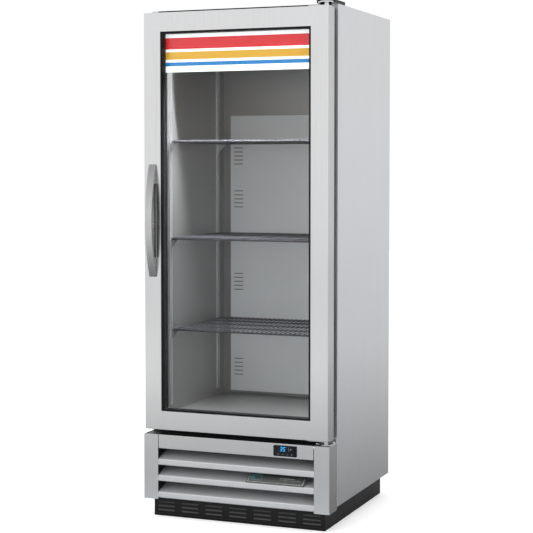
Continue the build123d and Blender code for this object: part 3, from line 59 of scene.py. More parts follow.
# ================================================================== camera, floor and light
CAMERA_PLACE = (1.7663, -4.4343, 1.1250)
CAMERA_DIP, CAMERA_TURN = 0.0472, 0.3804  # radians below level, and towards the cabinet's right
LENS_MM = 98.0
VIEW_SHIFT = -0.06
WHITE = (1.0, 1.0, 1.0)
CABINET_MIDDLE = (0.0, 0.0, 0.9)
WORLD_LOW, WORLD_HIGH = 0.98, 1.04  # brightness at eye level and overhead
WORLD_RISE = (-0.02, 0.30)  # the sines of the heights between which it grows
STUDIO_LAMPS = (
    # name, place, width and height, watts, colour
    ("key", (-2.6, -3.6, 2.6), (2.4, 2.4), 40.0, (1.0, 0.99, 0.98)),
    ("fill", (3.2, -2.6, 1.9), (1.8, 2.4), 12.0, WHITE),
    ("overhead", (-0.6, -1.0, 3.9), (3.0, 3.0), 26.0, WHITE),
)
FLOOR_HALF = 14.0
FLOOR_GLOW = 0.32
# painted shade: the floor as metal mirrors it, darker near the cabinet
SHADED_FLOOR, OPEN_FLOOR = (0.33, 0.33, 0.33), (0.80, 0.80, 0.80)  # as metal mirrors it
SHADED_WITHIN, OPEN_BEYOND = 0.7, 4.5


def set_camera():
    """A level view of the cabinet from the right of its door, at chest height."""
    data = bpy.data.cameras.new("camera")
    camera = bpy.data.objects.new("camera", data)
    bpy.context.scene.collection.objects.link(camera)
    camera.location = CAMERA_PLACE
    camera.rotation_euler = (math.pi / 2 - CAMERA_DIP, 0.0, CAMERA_TURN)
    data.lens = LENS_MM
    data.shift_y = VIEW_SHIFT
    bpy.context.scene.camera = camera


def area_light(name, place, target, size, power, color):
    """A soft rectangular lamp at a place, aimed at a target; size is (width, height)."""
    data = bpy.data.lights.new(name, "AREA")
    data.shape = "RECTANGLE"
    data.size, data.size_y = size
    data.energy = power
    data.color = color
    lamp = bpy.data.objects.new(name, data)
    lamp.location = place
    lamp.rotation_euler = (Vector(target) - Vector(place)).to_track_quat("-Z", "Y").to_euler()
    bpy.context.scene.collection.objects.link(lamp)
    return lamp


def light_studio():
    """A white studio, paler overhead than at eye level, with soft lamps. The camera sees plain white."""
    world = bpy.data.worlds.new("studio")
    world.use_nodes = True
    bpy.context.scene.world = world
    tree = world.node_tree
    background = tree.nodes["Background"]
    way = tree.nodes.new("ShaderNodeTexCoord").outputs["Generated"]
    height = wire(tree, "ShaderNodeSeparateXYZ", Vector=way).outputs["Z"]
    graded = remap(tree, height, *WORLD_RISE, WORLD_LOW, WORLD_HIGH)
    seen = tree.nodes.new("ShaderNodeLightPath").outputs["Is Camera Ray"]
    brightness = remap(tree, seen, 0.0, 1.0, graded, 1.0)
    tree.links.new(brightness, background.inputs["Strength"])
    background.inputs["Color"].default_value = (*WHITE, 1.0)
    for name, place, size, watts, color in STUDIO_LAMPS:
        lamp = area_light(name, place, CABINET_MIDDLE, size, watts, color)
        lamp.visible_glossy = False
        lamp.visible_transmission = False


def lay_floor():
    """A studio floor that isn't part of the cabinet: white to the eye; where metal mirrors it, it is grey,
    darkest round the cabinet as painted shade.
    """
    mesh = bpy.data.meshes.new("floor")
    corners = rectangle(-FLOOR_HALF, -FLOOR_HALF, FLOOR_HALF, FLOOR_HALF)
    mesh.from_pydata([(x, y, 0.0) for x, y in corners], [], [(0, 1, 2, 3)])
    floor = bpy.data.objects.new("floor", mesh)
    bpy.context.scene.collection.objects.link(floor)
    shade = Shade("studio_floor")
    mottle = shade.add("ShaderNodeTexNoise", Scale=1.4, Detail=2.0)
    white = shade.mix_colors(mottle.outputs[0], (0.90, 0.90, 0.90), (0.93, 0.93, 0.93))
    away = shade.add("ShaderNodeVectorMath")
    away.operation = "LENGTH"
    shade.tree.links.new(shade.place(), away.inputs[0])
    # Painted shade round the cabinet, seen only by rays that aren't the camera's.
    spread = remap(shade.tree, away.outputs["Value"], SHADED_WITHIN, OPEN_BEYOND)
    grey = shade.mix_colors(spread, SHADED_FLOOR, OPEN_FLOOR)
    seen = shade.tree.nodes.new("ShaderNodeLightPath").outputs["Is Camera Ray"]
    shade.link(shade.mix_colors(seen, grey, white), "Base Color")
    shade.value("Emission Color", (*WHITE, 1.0))
    shade.link(math_of(shade.tree, "MULTIPLY", seen, FLOOR_GLOW), "Emission Strength")
    shade.value("Roughness", 0.7)
    shade.value("Specular IOR Level", 0.1)
    mesh.materials.append(shade.material)


# ================================================================== shader groups shared by the finishes
NOISE_SPAN = (0.3, 0.7)  # nearly all of a noise's values lie between these
COARSE_SHARE = 0.16  # scale of the broad streaks, as a share of the fine ones
SLOW_SHARE = 0.35  # scale of the drift in tone, as a share of the haze
EDGE_SPAN = (0.97, 0.75)  # likeness of the rounded and the plain normal, from flat to sharp edge
PATCH_SPAN = (0.42, 0.60)
CELL_SPAN = (0.0, 0.6)


def new_group(name, inputs, outputs):
    """An empty shader group with named sockets: (name, kind, default) going in, (name, kind) coming out."""
    group = bpy.data.node_groups.new(name, "ShaderNodeTree")
    for label, kind, default in inputs:
        socket = group.interface.new_socket(label, in_out="INPUT", socket_type=kind)
        socket.default_value = default
    for label, kind in outputs:
        group.interface.new_socket(label, in_out="OUTPUT", socket_type=kind)
    return group, group.nodes.new("NodeGroupInput"), group.nodes.new("NodeGroupOutput")


def wire(tree, kind, **inputs):
    """A node in a tree, with its inputs given as values or as sockets to link from."""
    node = tree.nodes.new(kind)
    for label, given in inputs.items():
        target = node.inputs[label.replace("_", " ")]
        if isinstance(given, bpy.types.NodeSocket):
            tree.links.new(given, target)
        else:
            target.default_value = given
    return node


def fill_inputs(tree, node, values):
    """Gives a node's inputs, in order, a value each or a socket to link from. Returns its first output."""
    for socket, given in zip(node.inputs, values):
        if isinstance(given, bpy.types.NodeSocket):
            tree.links.new(given, socket)
        else:
            socket.default_value = given
    return node.outputs[0]


def math_of(tree, operation, first, second=0.0):
    """The output of one Math node over two values or sockets."""
    node = tree.nodes.new("ShaderNodeMath")
    node.operation = operation
    return fill_inputs(tree, node, (first, second))


def remap(tree, value, low, high, to_low=0.0, to_high=1.0):
    """A value taken from one range to another, held inside it."""
    return fill_inputs(tree, tree.nodes.new("ShaderNodeMapRange"), (value, low, high, to_low, to_high))


def make_grain_group():
    """Belt-sanded grain: fine scratches and broader soft streaks, both drawn out along the sheet."""
    group, given, result = new_group(
        "brushed_grain",
        [("Stretch", "NodeSocketVector", (1.0, 1.0, 0.01)), ("Fineness", "NodeSocketFloat", 900.0)],
        [("Streak", "NodeSocketFloat"), ("Broad", "NodeSocketFloat")],
    )
    place = group.nodes.new("ShaderNodeTexCoord").outputs["Object"]
    drawn = group.nodes.new("ShaderNodeVectorMath")
    drawn.operation = "MULTIPLY"
    group.links.new(place, drawn.inputs[0])
    group.links.new(given.outputs["Stretch"], drawn.inputs[1])
    fineness = given.outputs["Fineness"]
    fine = wire(group, "ShaderNodeTexNoise", Vector=drawn.outputs[0], Scale=fineness, Detail=3.0)
    coarse = math_of(group, "MULTIPLY", fineness, COARSE_SHARE)
    soft = wire(group, "ShaderNodeTexNoise", Vector=drawn.outputs[0], Scale=coarse, Detail=2.0)
    group.links.new(fine.outputs[0], result.inputs["Streak"])
    group.links.new(soft.outputs[0], result.inputs["Broad"])
    return group


def make_wear_group():
    """Where a sharp edge is rubbed: high along edges, broken up by noise."""
    group, given, result = new_group(
        "edge_wear",
        [("Width", "NodeSocketFloat", 0.001), ("Patchiness", "NodeSocketFloat", 60.0)],
        [("Mask", "NodeSocketFloat")],
    )
    rounded = group.nodes.new("ShaderNodeBevel")
    rounded.samples = 4
    group.links.new(given.outputs["Width"], rounded.inputs["Radius"])
    plain = group.nodes.new("ShaderNodeNewGeometry").outputs["True Normal"]
    likeness = group.nodes.new("ShaderNodeVectorMath")
    likeness.operation = "DOT_PRODUCT"
    group.links.new(rounded.outputs[0], likeness.inputs[0])
    group.links.new(plain, likeness.inputs[1])
    edge = remap(group, likeness.outputs["Value"], *EDGE_SPAN)
    place = group.nodes.new("ShaderNodeTexCoord").outputs["Object"]
    patch = wire(group, "ShaderNodeTexNoise", Vector=place, Scale=given.outputs["Patchiness"], Detail=4.0)
    broken = remap(group, patch.outputs[0], *PATCH_SPAN)
    group.links.new(math_of(group, "MULTIPLY", edge, broken), result.inputs["Mask"])
    return group


def make_handling_group():
    """Wiped-down haze: slow changes of gloss, with a few rubbed patches."""
    group, given, result = new_group(
        "handling_haze",
        [("Size", "NodeSocketFloat", 4.0)],
        [("Haze", "NodeSocketFloat"), ("Tone", "NodeSocketFloat")],
    )
    place = group.nodes.new("ShaderNodeTexCoord").outputs["Object"]
    size = given.outputs["Size"]
    cloud = wire(group, "ShaderNodeTexNoise", Vector=place, Scale=size, Detail=5.0, Roughness=0.6)
    slow = math_of(group, "MULTIPLY", size, SLOW_SHARE)
    tone = wire(group, "ShaderNodeTexNoise", Vector=place, Scale=slow, Detail=1.0)
    group.links.new(remap(group, cloud.outputs[0], *NOISE_SPAN), result.inputs["Haze"])
    group.links.new(remap(group, tone.outputs[0], *NOISE_SPAN), result.inputs["Tone"])
    return group


def make_speck_group():
    """Fine even texture: powder coat, moulded plastic or cast metal skin."""
    group, given, result = new_group(
        "fine_texture",
        [("Scale", "NodeSocketFloat", 1200.0)],
        [("Height", "NodeSocketFloat"), ("Fleck", "NodeSocketFloat")],
    )
    place = group.nodes.new("ShaderNodeTexCoord").outputs["Object"]
    peel = wire(group, "ShaderNodeTexNoise", Vector=place, Scale=given.outputs["Scale"], Detail=2.0)
    cells = wire(group, "ShaderNodeTexVoronoi", Vector=place, Scale=given.outputs["Scale"])
    group.links.new(peel.outputs[0], result.inputs["Height"])
    group.links.new(remap(group, cells.outputs["Distance"], *CELL_SPAN), result.inputs["Fleck"])
    return group


GROUPS = {}
SOFT_EDGE = 0.6 * MM


class Shade:
    """One material: a Principled shader and short ways to feed it."""

    def __init__(self, name):
        self.material = bpy.data.materials.new(name)
        self.material.use_nodes = True
        self.tree = self.material.node_tree
        self.surface = self.tree.nodes["Principled BSDF"]

    def add(self, kind, **inputs):
        return wire(self.tree, kind, **inputs)

    def group(self, name, **inputs):
        node = self.tree.nodes.new("ShaderNodeGroup")
        node.node_tree = GROUPS[name]
        for label, given in inputs.items():
            node.inputs[label].default_value = given
        return node

    def value(self, label, given):
        self.surface.inputs[label].default_value = given

    def link(self, socket, label):
        self.tree.links.new(socket, self.surface.inputs[label])

    def mix_colors(self, factor, first, second):
        """A colour between two colours or sockets."""
        node = self.tree.nodes.new("ShaderNodeMix")
        node.data_type = "RGBA"
        self.tree.links.new(factor, node.inputs["Factor"])
        sides = [s for s in node.inputs if s.type == "RGBA"]
        for socket, given in zip(sides, (first, second)):
            if isinstance(given, bpy.types.NodeSocket):
                self.tree.links.new(given, socket)
            else:
                socket.default_value = (*given, 1.0)
        return next(s for s in node.outputs if s.type == "RGBA")

    def bump(self, height, strength, distance):
        """Relief from a height, over edges softened by a small bevel."""
        softened = self.tree.nodes.new("ShaderNodeBevel")
        softened.samples = 4
        softened.inputs["Radius"].default_value = SOFT_EDGE
        node = self.add("ShaderNodeBump", Height=height, Strength=strength, Distance=distance)
        self.tree.links.new(softened.outputs[0], node.inputs["Normal"])
        self.link(node.outputs[0], "Normal")

    def roughen(self, mask, smooth, rough, low=0.0, high=1.0):
        """Roughness between two values, as a mask goes from low to high."""
        self.link(remap(self.tree, mask, low, high, smooth, rough), "Roughness")

    def place(self):
        return self.tree.nodes.new("ShaderNodeTexCoord").outputs["Object"]

    def place_along(self, axis):
        """The coordinate along one axis, in metres."""
        return self.add("ShaderNodeSeparateXYZ", Vector=self.place()).outputs[axis]

    def facing(self):
        """A node whose outputs X, Y and Z say which way the surface faces."""
        normal = self.tree.nodes.new("ShaderNodeTexCoord").outputs["Normal"]
        return self.add("ShaderNodeSeparateXYZ", Vector=normal)


def scaled(tone, share):
    """A colour darkened or brightened, none of it above 1."""
    return tuple(min(1.0, c * share) for c in tone)


# ================================================================== finishes
ALONG_Z = (1.0, 1.0, 0.012)
ALONG_X = (0.012, 1.0, 1.0)
QUARTER_TURN = 0.25


def brushed_steel(
    name, tone, roughness, stretch=ALONG_Z, turn=0.0, anisotropy=0.45, metallic=1.0, flank_shade=None
):
    """Sanded metal sheet. turn is how the blur of its reflections is turned, a quarter on crosswise grain.

    The flank tone is painted shade on faces turned to the right, such as the sheet's folded sides.
    """
    shade = Shade(name)
    grain = shade.group("brushed_grain", Stretch=stretch, Fineness=900.0)
    haze = shade.group("handling_haze", Size=3.0)
    streak = remap(shade.tree, grain.outputs["Streak"], *NOISE_SPAN)
    streaked = shade.mix_colors(streak, scaled(tone, 0.90), tone)
    cooler = (tone[0] * 0.95, tone[1] * 0.97, tone[2])
    sheet = shade.mix_colors(haze.outputs["Tone"], streaked, cooler)
    # Painted shade: faces turned to the right take the darker flank tone.
    if flank_shade:
        right_facing = remap(shade.tree, shade.facing().outputs["X"], 0.6, 0.9)
        sheet = shade.mix_colors(right_facing, sheet, flank_shade)
    shade.link(sheet, "Base Color")
    shade.value("Metallic", metallic)
    lines = remap(shade.tree, grain.outputs["Broad"], 0.25, 0.75, roughness * 0.88, roughness * 1.12)
    wiped = math_of(shade.tree, "MULTIPLY", haze.outputs["Haze"], 0.05)
    shade.link(math_of(shade.tree, "ADD", lines, wiped), "Roughness")
    shade.value("Anisotropic", anisotropy)
    shade.value("Anisotropic Rotation", turn)
    shade.bump(grain.outputs["Streak"], 0.12, 0.02 * MM)
    return shade.material


def handle_casting(name, front, side, back):
    """Cast bow with a satin front; its sides, the ends of its front and, near black, its back towards the
    door are painted shade.
    """
    shade = Shade(name)
    tree = shade.tree
    grain = shade.group("brushed_grain", Stretch=ALONG_Z, Fineness=700.0)
    haze = shade.group("handling_haze", Size=11.0)
    facing = shade.facing()
    # Painted shade: faces turned from the customer take the darker side tone, faces turned to the door the
    # near-black back tone.
    front_facing = remap(tree, facing.outputs["Y"], -0.35, -0.75)
    back_facing = remap(tree, facing.outputs["Y"], 0.1, 0.6)
    tone = shade.mix_colors(front_facing, side, front)
    tone = shade.mix_colors(back_facing, tone, back)
    # Painted shade also on the up- and down-facing ends of the front.
    ends = remap(tree, math_of(tree, "ABSOLUTE", facing.outputs["Z"]), 0.06, 0.30)
    tone = shade.mix_colors(math_of(tree, "MULTIPLY", ends, front_facing), tone, side)
    streaked = shade.mix_colors(remap(tree, grain.outputs["Streak"], *NOISE_SPAN), side, tone)
    shade.link(shade.mix_colors(math_of(tree, "MULTIPLY", front_facing, 0.15), tone, streaked), "Base Color")
    shade.value("Metallic", 1.0)
    shade.roughen(haze.outputs["Haze"], 0.24, 0.31)
    shade.bump(grain.outputs["Broad"], 0.05, 0.02 * MM)
    return shade.material


def galvanised_sheet(name, tone):
    """Zinc-dipped sheet with frost-like spangle."""
    shade = Shade(name)
    cells = shade.add("ShaderNodeTexVoronoi", Vector=shade.place(), Scale=85.0)
    cells.distance = "MANHATTAN"
    grey = remap(shade.tree, cells.outputs["Color"], 0.0, 1.0)
    haze = shade.group("handling_haze", Size=9.0)
    spangle = shade.mix_colors(grey, scaled(tone, 0.82), tone)
    shade.link(shade.mix_colors(haze.outputs["Tone"], spangle, scaled(tone, 0.92)), "Base Color")
    shade.value("Metallic", 0.85)
    shade.roughen(grey, 0.34, 0.5)
    shade.bump(cells.outputs["Distance"], 0.06, 0.05 * MM)
    return shade.material


def plated_metal(name, tone, roughness):
    """Zinc- or nickel-plated steel with rubbed edges."""
    shade = Shade(name)
    haze = shade.group("handling_haze", Size=22.0)
    wear = shade.group("edge_wear", Width=0.8 * MM, Patchiness=180.0)
    plated = shade.mix_colors(haze.outputs["Tone"], scaled(tone, 0.85), tone)
    shade.link(shade.mix_colors(wear.outputs["Mask"], plated, scaled(tone, 1.25)), "Base Color")
    shade.value("Metallic", 1.0)
    shade.roughen(haze.outputs["Haze"], roughness * 0.85, roughness * 1.25)
    texture = shade.group("fine_texture", Scale=1500.0)
    shade.bump(texture.outputs["Height"], 0.08, 0.02 * MM)
    return shade.material


def painted_metal(name, tone, roughness, worn_tone, dust_and_top_light=None):
    """Powder-coated or enamelled sheet, thin at its edges. The dust tone goes where it leans back: settled
    dust and painted light from above.
    """
    shade = Shade(name)
    texture = shade.group("fine_texture", Scale=1400.0)
    haze = shade.group("handling_haze", Size=8.0)
    wear = shade.group("edge_wear", Width=0.7 * MM, Patchiness=90.0)
    varied = shade.mix_colors(haze.outputs["Tone"], scaled(tone, 0.90), tone)
    # Faces leaning back are lightened: settled dust and painted light from above.
    if dust_and_top_light:
        leaning = remap(shade.tree, shade.facing().outputs["Z"], 0.2, 0.4)
        varied = shade.mix_colors(leaning, varied, dust_and_top_light)
    thin = math_of(shade.tree, "MULTIPLY", wear.outputs["Mask"], 0.6)
    shade.link(shade.mix_colors(thin, varied, worn_tone), "Base Color")
    shade.roughen(haze.outputs["Haze"], roughness * 0.9, roughness * 1.15)
    shade.value("Specular IOR Level", 0.3)
    shade.bump(texture.outputs["Height"], 0.18, 0.05 * MM)
    return shade.material


def moulded_plastic(name, tone, roughness, gloss=0.3):
    """Moulded or extruded plastic with a fine skin and pale rubbed corners."""
    shade = Shade(name)
    texture = shade.group("fine_texture", Scale=900.0)
    haze = shade.group("handling_haze", Size=14.0)
    wear = shade.group("edge_wear", Width=0.6 * MM, Patchiness=120.0)
    varied = shade.mix_colors(haze.outputs["Tone"], scaled(tone, 0.85), tone)
    pale = tuple(c * 1.6 + 0.03 for c in tone)
    rubbed = math_of(shade.tree, "MULTIPLY", wear.outputs["Mask"], 0.5)
    shade.link(shade.mix_colors(rubbed, varied, pale), "Base Color")
    shade.roughen(haze.outputs["Haze"], roughness * 0.88, roughness * 1.15)
    shade.value("Specular IOR Level", gloss)
    shade.bump(texture.outputs["Height"], 0.15, 0.06 * MM)
    return shade.material


def gasket_rubber(name):
    """Soft grey-black seal, slightly dusty in its folds."""
    shade = Shade(name)
    haze = shade.group("handling_haze", Size=30.0)
    texture = shade.group("fine_texture", Scale=700.0)
    rubber = shade.mix_colors(haze.outputs["Tone"], (0.022, 0.022, 0.024), (0.045, 0.045, 0.048))
    dusty = remap(shade.tree, haze.outputs["Haze"], 0.65, 1.0, 0.0, 0.35)
    shade.link(shade.mix_colors(dusty, rubber, (0.11, 0.11, 0.11)), "Base Color")
    shade.roughen(haze.outputs["Haze"], 0.5, 0.68)
    shade.value("Sheen Weight", 0.15)
    shade.bump(texture.outputs["Height"], 0.2, 0.08 * MM)
    return shade.material


def finned_aluminium(name):
    """Thin bare fins, oxidised a little towards the tubes."""
    shade = Shade(name)
    haze = shade.group("handling_haze", Size=12.0)
    grain = shade.group("brushed_grain", Stretch=(1.0, 1.0, 0.05), Fineness=500.0)
    tone = shade.mix_colors(haze.outputs["Tone"], (0.50, 0.51, 0.52), (0.68, 0.69, 0.70))
    dulled = remap(shade.tree, grain.outputs["Broad"], 0.55, 0.8, 0.0, 0.5)
    shade.link(shade.mix_colors(dulled, tone, (0.36, 0.37, 0.38)), "Base Color")
    shade.value("Metallic", 1.0)
    shade.roughen(haze.outputs["Haze"], 0.3, 0.48)
    shade.bump(grain.outputs["Streak"], 0.1, 0.03 * MM)
    return shade.material


def copper_tube(name):
    """Drawn copper: warm, with brown tarnish in patches and around the brazed ends."""
    shade = Shade(name)
    haze = shade.group("handling_haze", Size=18.0)
    texture = shade.group("fine_texture", Scale=800.0)
    clean = shade.mix_colors(haze.outputs["Tone"], (0.68, 0.33, 0.19), (0.80, 0.46, 0.30))
    tarnish = remap(shade.tree, haze.outputs["Haze"], 0.5, 1.0, 0.0, 0.8)
    shade.link(shade.mix_colors(tarnish, clean, (0.25, 0.13, 0.08)), "Base Color")
    shade.value("Metallic", 1.0)
    shade.roughen(haze.outputs["Haze"], 0.22, 0.5)
    shade.bump(texture.outputs["Height"], 0.1, 0.03 * MM)
    return shade.material


def rigid_foam(name):
    """Foamed-in-place insulation: cream, with small open cells, each painted darker towards its middle as
    painted shade in its pit.
    """
    shade = Shade(name)
    cells = shade.add("ShaderNodeTexVoronoi", Vector=shade.place(), Scale=650.0)
    pit_depth_and_shade = remap(shade.tree, cells.outputs["Distance"], 0.0, 0.45)
    haze = shade.group("handling_haze", Size=7.0)
    cream = shade.mix_colors(haze.outputs["Tone"], (0.72, 0.62, 0.38), (0.82, 0.74, 0.52))
    # Painted shade: each cell is darker towards its middle, where its pit lies.
    shade.link(shade.mix_colors(pit_depth_and_shade, (0.50, 0.40, 0.22), cream), "Base Color")
    shade.value("Roughness", 0.92)
    shade.bump(pit_depth_and_shade, 0.7, 0.4 * MM)
    return shade.material


def clear_glass(name):
    """Tempered pane. Rays from lamps pass straight through, so the goods space is lit."""
    shade = Shade(name)
    haze = shade.group("handling_haze", Size=5.0)
    tint = shade.mix_colors(haze.outputs["Tone"], (0.985, 0.990, 0.990), (0.992, 0.995, 0.995))
    shade.link(tint, "Base Color")
    shade.roughen(haze.outputs["Haze"], 0.0, 0.025, low=0.55)
    shade.value("Metallic", 0.0)
    shade.value("Transmission Weight", 1.0)
    shade.value("IOR", 1.18)
    tree = shade.tree
    rays = tree.nodes.new("ShaderNodeLightPath")
    passing = math_of(tree, "MAXIMUM", rays.outputs["Is Shadow Ray"], rays.outputs["Is Diffuse Ray"])
    through = tree.nodes.new("ShaderNodeBsdfTransparent")
    through.inputs[0].default_value = (0.97, 0.98, 0.98, 1.0)
    blend = tree.nodes.new("ShaderNodeMixShader")
    tree.links.new(passing, blend.inputs[0])
    tree.links.new(shade.surface.outputs[0], blend.inputs[1])
    tree.links.new(through.outputs[0], blend.inputs[2])
    tree.links.new(blend.outputs[0], tree.nodes["Material Output"].inputs["Surface"])
    return shade.material


SIGN_BANDS = (
    # from and to, as shares of the sheet's height, and the ink
    (0.60, 0.90, (0.55, 0.006, 0.012)),
    (0.33, 0.53, (0.56, 0.30, 0.012)),
    (0.16, 0.26, (0.0, 0.16, 0.42)),
)


def sign_acrylic(name):
    """White sign sheet with three plain bands across its full width, each thinner than the one above."""
    low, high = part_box("sign_panel")
    shade = Shade(name)
    tree = shade.tree
    share = remap(tree, shade.place_along("Z"), low.z, high.z)
    grain = shade.group("fine_texture", Scale=2200.0)
    haze = shade.group("handling_haze", Size=6.0)
    color = shade.mix_colors(haze.outputs["Tone"], (0.90, 0.91, 0.92), (0.94, 0.95, 0.95))
    for bottom, top, ink in SIGN_BANDS:
        above = math_of(tree, "GREATER_THAN", share, bottom)
        below = math_of(tree, "LESS_THAN", share, top)
        inside = math_of(tree, "MULTIPLY", above, below)
        mottled = shade.mix_colors(grain.outputs["Fleck"], scaled(ink, 0.93), ink)
        color = shade.mix_colors(inside, color, mottled)
    shade.link(color, "Base Color")
    shade.link(color, "Emission Color")
    shade.value("Emission Strength", 0.55)
    shade.roughen(haze.outputs["Haze"], 0.16, 0.26)
    shade.value("Coat Weight", 0.3)
    shade.bump(grain.outputs["Height"], 0.03, 0.007 * MM)
    return shade.material


LENS_RIB = 1.5 * MM


def lit_lens(name):
    """Ribbed frosted cover of the lamp, glowing evenly."""
    shade = Shade(name)
    ribs = math_of(shade.tree, "PINGPONG", shade.place_along("X"), LENS_RIB)
    crest = remap(shade.tree, ribs, 0.0, LENS_RIB)
    shade.link(shade.mix_colors(crest, (0.86, 0.88, 0.9), (0.95, 0.96, 0.97)), "Base Color")
    glow = shade.group("handling_haze", Size=10.0)
    light = shade.mix_colors(glow.outputs["Tone"], (0.93, 0.97, 1.0), (0.97, 0.99, 1.0))
    shade.link(light, "Emission Color")
    shade.value("Emission Strength", 5.0)
    shade.value("Roughness", 0.45)
    shade.bump(ribs, 0.4, 0.3 * MM)
    return shade.material


def gloss_black(name, tone):
    """Polished black moulding with faint smears."""
    shade = Shade(name)
    haze = shade.group("handling_haze", Size=40.0)
    texture = shade.group("fine_texture", Scale=1600.0)
    shade.link(shade.mix_colors(haze.outputs["Tone"], tone, scaled(tone, 2.0)), "Base Color")
    shade.roughen(haze.outputs["Haze"], 0.09, 0.22, low=0.4)
    shade.value("Specular IOR Level", 0.15)
    shade.bump(texture.outputs["Height"], 0.03, 0.02 * MM)
    return shade.material


def glowing_digit(name, color, strength):
    """A glowing mark, a little brighter in the middle of its cells: a lamp segment of the readout, and on the
    keys and the name plate a painted glow on printed marks.
    """
    shade = Shade(name)
    cells = shade.group("fine_texture", Scale=900.0)
    dim = scaled(color, 0.75)
    shade.link(shade.mix_colors(cells.outputs["Fleck"], color, dim), "Emission Color")
    shade.link(shade.mix_colors(cells.outputs["Fleck"], scaled(color, 0.5), dim), "Base Color")
    shade.value("Emission Strength", strength)
    shade.value("Roughness", 0.3)
    return shade.material


def badge_enamel(name):
    """Dark metallic enamel with a fine crosswise grain under it."""
    shade = Shade(name)
    grain = shade.group("brushed_grain", Stretch=ALONG_X, Fineness=700.0)
    haze = shade.group("handling_haze", Size=16.0)
    dark = shade.mix_colors(grain.outputs["Streak"], (0.040, 0.044, 0.040), (0.075, 0.082, 0.076))
    shade.link(shade.mix_colors(haze.outputs["Tone"], dark, (0.055, 0.062, 0.058)), "Base Color")
    shade.value("Metallic", 0.4)
    shade.roughen(haze.outputs["Haze"], 0.22, 0.34)
    shade.value("Coat Weight", 0.5)
    shade.bump(grain.outputs["Streak"], 0.06, 0.02 * MM)
    return shade.material


def build_finishes():
    """Every finish, by the name of its material slot in the record."""
    white_chip = (0.62, 0.62, 0.60)
    bare_chip = (0.30, 0.30, 0.31)
    return {
        "stainless_side": brushed_steel("stainless_side", (0.66, 0.67, 0.68), 0.34),
        # The flank tone is painted shade on the faces turned to the right.
        "stainless_front": brushed_steel(
            "stainless_front", (0.74, 0.74, 0.74), 0.17, flank_shade=(0.48, 0.48, 0.485)
        ),
        "stainless_louver": brushed_steel(
            "stainless_louver", (0.62, 0.62, 0.62), 0.42, ALONG_X, QUARTER_TURN, 0.2, metallic=0.5
        ),
        "stainless_inner": brushed_steel("stainless_inner", (0.70, 0.70, 0.70), 0.36, metallic=0.8),
        "galvanised": galvanised_sheet("galvanised", (0.62, 0.64, 0.66)),
        "zinc": plated_metal("zinc", (0.66, 0.67, 0.69), 0.30),
        "hinge_steel": plated_metal("hinge_steel", (0.70, 0.70, 0.71), 0.24),
        # The side and back tones are painted shade.
        "handle_metal": handle_casting(
            "handle_metal", front=(0.58, 0.58, 0.585), side=(0.31, 0.31, 0.315), back=(0.075, 0.075, 0.076)
        ),
        "liner": brushed_steel("liner", (0.37, 0.36, 0.35), 0.42, anisotropy=0.15, metallic=0.8),
        "white_metal": painted_metal("white_metal", (0.90, 0.91, 0.92), 0.35, white_chip),
        "fins": finned_aluminium("fins"),
        "copper": copper_tube("copper"),
        "dark_metal": painted_metal("dark_metal", (0.05, 0.05, 0.055), 0.42, bare_chip),
        # The dust tone is settled dust and painted light from above on faces leaning back.
        "black_metal": painted_metal(
            "black_metal", (0.006, 0.006, 0.0065), 0.44, (0.07, 0.07, 0.07), dust_and_top_light=(0.055, 0.055, 0.055)
        ),
        "fan_metal": plated_metal("fan_metal", (0.62, 0.63, 0.64), 0.34),
        "fan_plastic": moulded_plastic("fan_plastic", (0.06, 0.06, 0.065), 0.45),
        "black_plastic": moulded_plastic("black_plastic", (0.008, 0.008, 0.009), 0.40, gloss=0.12),
        "grey_plastic": moulded_plastic("grey_plastic", (0.42, 0.43, 0.44), 0.48),
        "key_plastic": moulded_plastic("key_plastic", (0.020, 0.020, 0.022), 0.30),
        "display_black": gloss_black("display_black", (0.008, 0.008, 0.010)),
        "badge": badge_enamel("badge"),
        "foam": rigid_foam("foam"),
        "glass": clear_glass("glass"),
        "spacer": moulded_plastic("spacer", (0.015, 0.015, 0.016), 0.5, gloss=0.15),
        "gasket": gasket_rubber("gasket"),
        "sign": sign_acrylic("sign"),
        "lens": lit_lens("lens"),
        "coated_wire": moulded_plastic("coated_wire", (0.050, 0.049, 0.058), 0.48, gloss=0.25),
    }


# ================================================================== mesh tools
SAME_POINT = 1e-7
SAME_CORNER = 1e-6
SAME_ON_CURVE, SHORTEST_EDGE = 0.02 * MM, 0.01 * MM


def rectangle(left, bottom, right, top):
    """Corner points of an upright rectangle."""
    return [(left, bottom), (right, bottom), (right, top), (left, top)]


def circle(radius, steps, centre_x=0.0):
    """Points round a circle."""
    turns = (math.tau * k / steps for k in range(steps))
    return [(centre_x + radius * math.cos(turn), radius * math.sin(turn)) for turn in turns]


def arc(radius, spread, steps):
    """Points of an arc that reaches spread radians to both sides of +y."""
    turns = (-spread + 2 * spread * k / steps for k in range(steps + 1))
    return [(radius * math.sin(turn), radius * math.cos(turn)) for turn in turns]


def make_piece(name, mesh, material, body, sharp_above=35.0):
    """A shown piece from a finished mesh, smooth except at sharp corners, riding on a body."""
    mesh.name = name
    mesh.validate()
    for face in mesh.polygons:
        face.use_smooth = True
    mesh.set_sharp_from_angle(angle=math.radians(sharp_above))
    if not mesh.materials:
        mesh.materials.append(material)
    piece = bpy.data.objects.new(name, mesh)
    bpy.context.scene.collection.objects.link(piece)
    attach(piece, body)
    return piece


def mesh_from(bm):
    """A mesh from a bmesh, with its normals facing out and doubled points merged."""
    bmesh.ops.remove_doubles(bm, verts=bm.verts, dist=SAME_POINT)
    bmesh.ops.recalc_face_normals(bm, faces=bm.faces)
    mesh = bpy.data.meshes.new("piece")
    bm.to_mesh(mesh)
    bm.free()
    return mesh


def bridge(bm, here, there):
    """A band of faces between two closed rings of as many points."""
    for k in range(len(here)):
        following = (k + 1) % len(here)
        bm.faces.new((here[k], here[following], there[following], there[k]))


